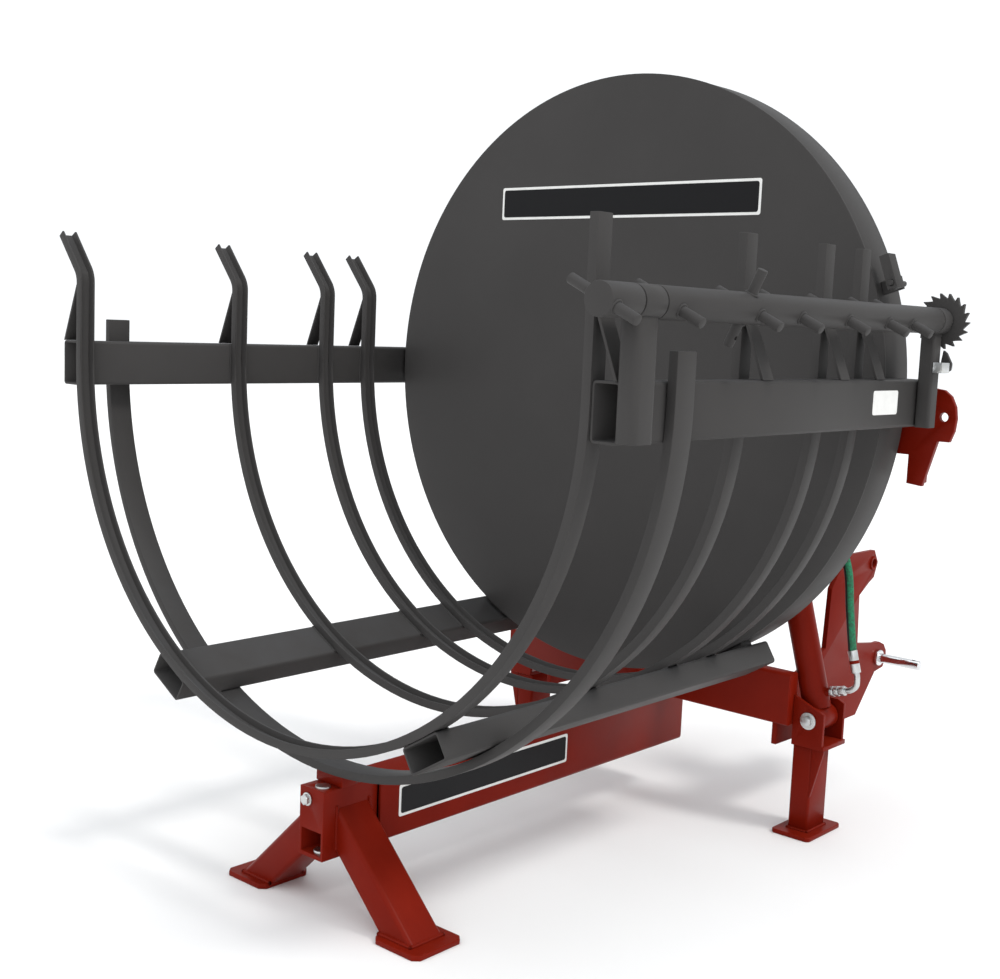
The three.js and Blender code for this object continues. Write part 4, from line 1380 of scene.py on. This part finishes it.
@dataclass
class TippingCylinder:
    """Barrel, rod, fitting, hose and coupling."""

    shop: Workshop
    pivot: Vector = field(default_factory=lambda: joint_point("cylinder_swing"))
    way: Vector = field(default_factory=lambda: Vector(JOINTS["rod_slide"]["axis"]).normalized())
    barrel_radius: float = 0.038
    rod_radius: float = 0.020
    barrel_end: float = 0.720
    length: float = 1.000
    port: float = 0.066
    beside: float = 0.066
    hose_end: float = 0.700
    hose_radius: float = 0.0115
    ferrule_radius: float = 0.0128
    elbow_radius: float = 0.008
    eye_bore: float = 0.0148
    gland_bore: float = 0.0208

    def build(self) -> None:
        """Model and dress the cylinder."""
        self.barrel()
        self.rod()
        self.fitting()
        self.hose()

    def at(self, distance: float, aside: float = 0.0) -> Vector:
        """A point along the cylinder's axis and to its right."""
        side = Vector((self.way.z, 0, -self.way.x))
        return self.pivot + self.way * distance + side * aside

    def barrel(self) -> None:
        """The painted barrel with its eye, port boss, gland and hose clip."""
        red = self.shop.finishes.red
        half = Vector((0, 0.044, 0))
        tube = round_bar("tube", self.at(0.026), self.at(self.barrel_end), self.barrel_radius, 96)
        soften(tube, 0.002, 2)
        eye = round_bar("eye", self.pivot - half, self.pivot + half, 0.034, 64)
        cut(eye, round_bar("bore", self.pivot - half * 1.5, self.pivot + half * 1.5, self.eye_bore, 48))
        soften(eye, 0.002, 2)
        gland = round_bar("gland", self.at(self.barrel_end - 0.001), self.at(self.barrel_end + 0.022),
                          self.barrel_radius - 0.004, 96)
        cut(gland, round_bar("bore", self.at(self.barrel_end - 0.03), self.at(self.barrel_end + 0.04),
                             self.gland_bore, 64))
        soften(gland, 0.002, 2)
        ring = soften(round_bar("ring", self.at(self.barrel_end - 0.05), self.at(self.barrel_end - 0.002),
                                self.barrel_radius + 0.0018, 96), 0.0012)
        port = soften(round_bar("port", self.at(self.port), self.at(self.port, 0.048), 0.012, 32), 0.001)
        clip = soften(round_bar("clip", self.at(0.650, 0.030), self.at(0.650, 0.052), 0.010, 12), 0.001)
        parts = [tube, eye, gland, ring, port, clip]
        self.shop.fit(joined("barrel", *parts), "cylinder_tube", Body.BARREL, red, "cylinder_barrel")

    def rod(self) -> None:
        """The chromed rod with its welded eye."""
        tip = self.at(self.length)
        half = Vector((0, 0.025, 0))
        rod = soften(round_bar("rod", self.at(0.33), self.at(self.length - 0.02), self.rod_radius, 64), 0.001)
        eye = round_bar("eye", tip - half, tip + half, 0.032, 64)
        cut(eye, round_bar("bore", tip - half * 1.4, tip + half * 1.4, 0.015, 48))
        soften(eye, 0.002, 2)
        self.shop.fit(joined("rod", rod, eye), "chromed_rod", Body.ROD, self.shop.finishes.chrome,
                      "piston_rod")

    def fitting(self) -> None:
        """The union nuts and the swept elbow."""
        nuts = [soften(round_bar("nut", self.at(self.port, a), self.at(self.port, b), r, 6), 0.001)
                for a, b, r in ((0.0483, 0.060, 0.015), (0.0615, 0.075, 0.0142), (0.0775, 0.094, 0.0138))]
        collar = round_bar("collar", self.at(self.port, 0.0475), self.at(self.port, 0.097), 0.0096, 32)
        soften(collar, 0.0008)
        bend = self.eased([self.at(self.port, 0.092), self.at(self.port, 0.110), self.at(0.076, 0.128),
                           self.at(0.098, 0.1353), self.at(0.1105, 0.1355)])
        elbow = self.swept("elbow", bend, self.elbow_radius, 2)
        self.shop.fit(joined("fitting", *nuts, collar, elbow), "union_elbow", Body.BARREL,
                      self.shop.finishes.zinc, "hose_fitting")

    def swept(self, name: str, points: Sequence[Vector], radius: float, steps: int) -> bpy.types.Object:
        """Sweep a round section along a smooth curve through the points.

        Args:
            name: Name of the new object.
            points: Points that the curve passes through.
            radius: Radius of the section.
            steps: Resolution between two points.

        Returns:
            The closed tube.
        """
        start_clean()
        bpy.ops.curve.primitive_nurbs_path_add(location=(0, 0, 0))
        path = bpy.context.object
        path.data.splines.clear()
        spline = path.data.splines.new("BEZIER")
        spline.bezier_points.add(len(points) - 1)
        for knot, place in zip(spline.bezier_points, points):
            knot.co = place
            knot.handle_left_type = knot.handle_right_type = "AUTO"
        path.data.resolution_u = steps
        path.data.bevel_depth = radius
        path.data.bevel_resolution = 8
        path.data.use_fill_caps = True
        choose(path)
        bpy.ops.object.convert(target="MESH")
        tube = outward(named(bpy.context.object, name))
        choose(tube)
        bpy.ops.object.shade_smooth_by_angle(angle=math.radians(40))
        return tube

    def hose(self) -> None:
        """The hose in its clip, its ferrules and the quick coupling."""
        zinc = self.shop.finishes.zinc
        route = self.eased([self.at(d, a) for d, a in (
            (0.111, 0.1355), (0.161, 0.1356), (0.280, 0.151), (0.392, 0.167), (0.500, 0.150),
            (0.580, 0.105), (0.650, self.beside), (self.hose_end, self.beside))])
        hose = self.swept("hose", route, self.hose_radius, 2)
        around = hose.data.attributes.new("around", "FLOAT", "POINT")
        side = Vector((self.way.z, 0, -self.way.x))
        facing = (side * 0.75 - Vector((0, 1, 0)) * 0.65).normalized()
        for vertex, value in zip(hose.data.vertices, around.data):
            centre = self.nearest(route, vertex.co)
            away = (vertex.co - centre).normalized()
            value.value = max(0.0, away.dot(facing))
        self.shop.fit(hose, "tipping_hose", Body.BARREL, self.shop.finishes.hose, "hose")
        ferrules = [soften(round_bar("ferrule", a, b, self.ferrule_radius, 32), 0.0012, 2)
                    for a, b in ((self.at(0.111, 0.1355), self.at(0.172, 0.1362)),
                                 (self.at(0.662, self.beside), self.at(self.hose_end - 0.0004, self.beside)))]
        self.shop.fit(joined("ferrules", *ferrules), "hose_ferrules", Body.BARREL, zinc)
        mark = soften(round_bar("mark", self.at(0.136, 0.1358), self.at(0.145, 0.1359), 0.0132, 32), 0.0004)
        self.shop.fit(mark, "ferrule_band", Body.BARREL, self.shop.finishes.red)
        runs = (("hex", 0.0004, 0.024, 0.0135, 6), ("body", 0.022, 0.052, 0.0122, 48),
                ("sleeve", 0.046, 0.064, 0.0108, 48), ("nose", 0.060, 0.0755, 0.0085, 48))
        parts = [soften(round_bar(label, self.at(self.hose_end + a, self.beside),
                                  self.at(self.hose_end + b, self.beside), radius, sides), 0.001)
                 for label, a, b, radius, sides in runs]
        self.shop.fit(joined("coupling", *parts), "quick_coupling", Body.BARREL, zinc, "hose_coupling")
        band = round_bar("band", self.at(0.641, self.beside + 0.003), self.at(0.659, self.beside), 0.0138, 48)
        soften(band, 0.001)
        self.shop.fit(band, "hose_clip_band", Body.BARREL, zinc)

    @staticmethod
    def eased(knots: Sequence[Vector], steps: int = 8) -> list[Vector]:
        """Points of a smooth curve through the knots.

        Args:
            knots: Points that the curve passes through.
            steps: Points between two knots.

        Returns:
            The curve's points, from the first knot to the last.
        """
        padded = [knots[0], *knots, knots[-1]]
        points = []
        for before, a, b, after in zip(padded, padded[1:], padded[2:], padded[3:]):
            for step in range(steps):
                t = step / steps
                square = (2 * before - 5 * a + 4 * b - after) * t ** 2
                cube = (3 * a - before - 3 * b + after) * t ** 3
                points.append(0.5 * (2 * a + (b - before) * t + square + cube))
        return points + [knots[-1]]

    @staticmethod
    def nearest(route: Sequence[Vector], place: Vector) -> Vector:
        """The point of a polyline nearest to a place.

        Args:
            route: The polyline's points.
            place: The place to measure from.

        Returns:
            The nearest point.
        """
        best = route[0]
        for start, end in zip(route, route[1:]):
            run = end - start
            share = min(1.0, max(0.0, (place - start).dot(run) / run.length_squared))
            spot = start + run * share
            if (spot - place).length < (best - place).length:
                best = spot
        return best


# ---- plain stickers ----------------------------------------------------------------


@dataclass
class Stickers:
    """Blank films without lettering, where the real machine carries its labels."""

    shop: Workshop
    thin: float = 0.0006
    double: float = 0.0012
    corner: float = 0.006

    def build(self) -> None:
        """Lay the films on the drum and the frame."""
        films = self.shop.finishes
        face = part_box("disc_plate")[0][1]
        hub = joint_point("drum_turn")
        self.film("drum_band_edge", (hub.x - 0.42, hub.z + 0.425), (hub.x + 0.435, hub.z + 0.515),
                  face, self.thin, Axis.Y, films.white, Body.DRUM)
        self.film("drum_band", (hub.x - 0.413, hub.z + 0.432), (hub.x + 0.428, hub.z + 0.508),
                  face, self.double, Axis.Y, films.black, Body.DRUM)
        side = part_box("right_rail")[1]
        self.film("blank_tag", (side[1] - 0.255, side[2] - 0.078), (side[1] - 0.135, side[2] - 0.024),
                  side[0], self.thin, Axis.X, films.white, Body.DRUM)
        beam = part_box("main_beam")[1]
        self.film("beam_band_edge", (beam[1] - 1.18, beam[2] - 0.108), (beam[1] - 0.55, beam[2] - 0.030),
                  beam[0], self.thin, Axis.X, films.white, Body.FRAME)
        self.film("beam_band", (beam[1] - 1.173, beam[2] - 0.101), (beam[1] - 0.557, beam[2] - 0.037),
                  beam[0], self.double, Axis.X, films.black, Body.FRAME)

    def film(self, name: str, low: Point, high: Point, face: float, proud: float, axis: Axis,
             material: bpy.types.Material, body: Body) -> None:
        """Lay one rectangular film with round corners.

        Args:
            name: Name of the piece.
            low: Lowest corner in the face's own plane.
            high: Highest corner.
            face: Where the painted face lies.
            proud: How far the film stands off it.
            axis: The axis the face is square to.
            material: The film's finish.
            body: The body it rides on.
        """
        sign = -1 if axis is Axis.Y else 1
        points = [(low[0], low[1]), (high[0], low[1]), (high[0], high[1]), (low[0], high[1])]
        span = sorted((face + sign * 0.0001, face + sign * proud))
        piece = plate(name, points, axis, span)
        k = axis.value
        with editing(piece):
            pick_edges(piece, lambda a, b: abs(a[k] - b[k]) > 1e-5)
            bpy.ops.mesh.bevel(offset=self.corner, segments=4, affect="EDGES")
        self.shop.fit(piece, name, body, material)


# ---- studio ------------------------------------------------------------------------


@dataclass
class Studio:
    """Pale floor, soft light and the camera."""

    camera_place: tuple = (2.245, -2.893, 1.365)
    yaw: float = 41.25
    pitch: float = 6.91
    roll: float = 2.45
    lens: float = 50.01
    sky: float = 0.88

    def build(self) -> None:
        """Set the whole studio up."""
        self.floor()
        self.world()
        self.lights()
        self.camera()

    def floor(self) -> None:
        """A wide matt white floor."""
        start_clean()
        bpy.ops.mesh.primitive_plane_add(size=60, location=(0, 0, 0))
        ground = named(bpy.context.object, "studio_floor")
        shader = Shader("floor_white")
        shade = shader.blend(shader.noise(0.6, 2), rgb(0.91, 0.91, 0.91), rgb(0.93, 0.93, 0.93))
        shader.set(Base_Color=shade, Roughness=0.75, Specular_IOR_Level=0.2)
        ground.data.materials.append(shader.material)

    def world(self) -> None:
        """Even white surroundings."""
        world = bpy.data.worlds.new("studio_white")
        bpy.context.scene.world = world
        world.use_nodes = True
        tree = world.node_tree
        background = tree.nodes["Background"]
        background.inputs["Color"].default_value = rgb(0.96, 0.98, 1.0)
        seen = tree.nodes.new("ShaderNodeLightPath")
        strength = tree.nodes.new("ShaderNodeMapRange")
        strength.inputs["To Min"].default_value = self.sky
        strength.inputs["To Max"].default_value = 1.1
        tree.links.new(seen.outputs["Is Camera Ray"], strength.inputs["Value"])
        tree.links.new(strength.outputs[0], background.inputs["Strength"])
        bpy.context.scene.view_settings.view_transform = "Standard"

    def sun(self, name: str, way: Point, spread: float, power: float, tint: Point) -> None:
        """One soft sun.

        Args:
            name: Name of the light.
            way: Direction that the light travels in.
            spread: Apparent size in degrees, which sets how soft the shadows are.
            power: Strength.
            tint: Colour.
        """
        start_clean()
        bpy.ops.object.light_add(type="SUN", location=(0, 0, 6))
        light = bpy.context.object
        light.name = name
        light.data.energy = power
        light.data.angle = math.radians(spread)
        light.data.color = tint
        light.rotation_euler = Vector(way).to_track_quat("-Z", "Y").to_euler()

    def lights(self) -> None:
        """A soft key from the upper right and a broad light from above the open end."""
        self.sun("key", (-0.8, -0.15, -1.0), 13, 1.15, (1.0, 0.98, 0.95))
        self.sun("front", (-0.1, 0.7, -1.0), 90, 0.95, (0.98, 0.99, 1.0))

    def camera(self) -> None:
        """The camera in front of the open end and to its right, 1.4 m above the floor."""
        data = bpy.data.cameras.new("camera")
        data.sensor_width = 36
        data.lens = self.lens
        eye = bpy.data.objects.new("camera", data)
        bpy.context.scene.collection.objects.link(eye)
        turn = (Matrix.Rotation(math.radians(self.yaw), 4, "Z")
                @ Matrix.Rotation(math.radians(90 - self.pitch), 4, "X")
                @ Matrix.Rotation(math.radians(self.roll), 4, "Z"))
        eye.matrix_world = Matrix.Translation(self.camera_place) @ turn
        bpy.context.scene.camera = eye


def main() -> None:
    """Build every sub-assembly in order and report it."""
    logging.basicConfig(level=logging.INFO, format="%(name)s: %(message)s")
    finishes = Finishes()
    shop = Workshop(finishes)
    for part in (Drum(shop), TensionGear(shop), FloorFrame(shop), TippingCylinder(shop), Stickers(shop)):
        part.build()
        log.info("%s done, %d pieces so far", type(part).__name__, shop.count)
    Studio().build()


if __name__ == "__main__":
    main()
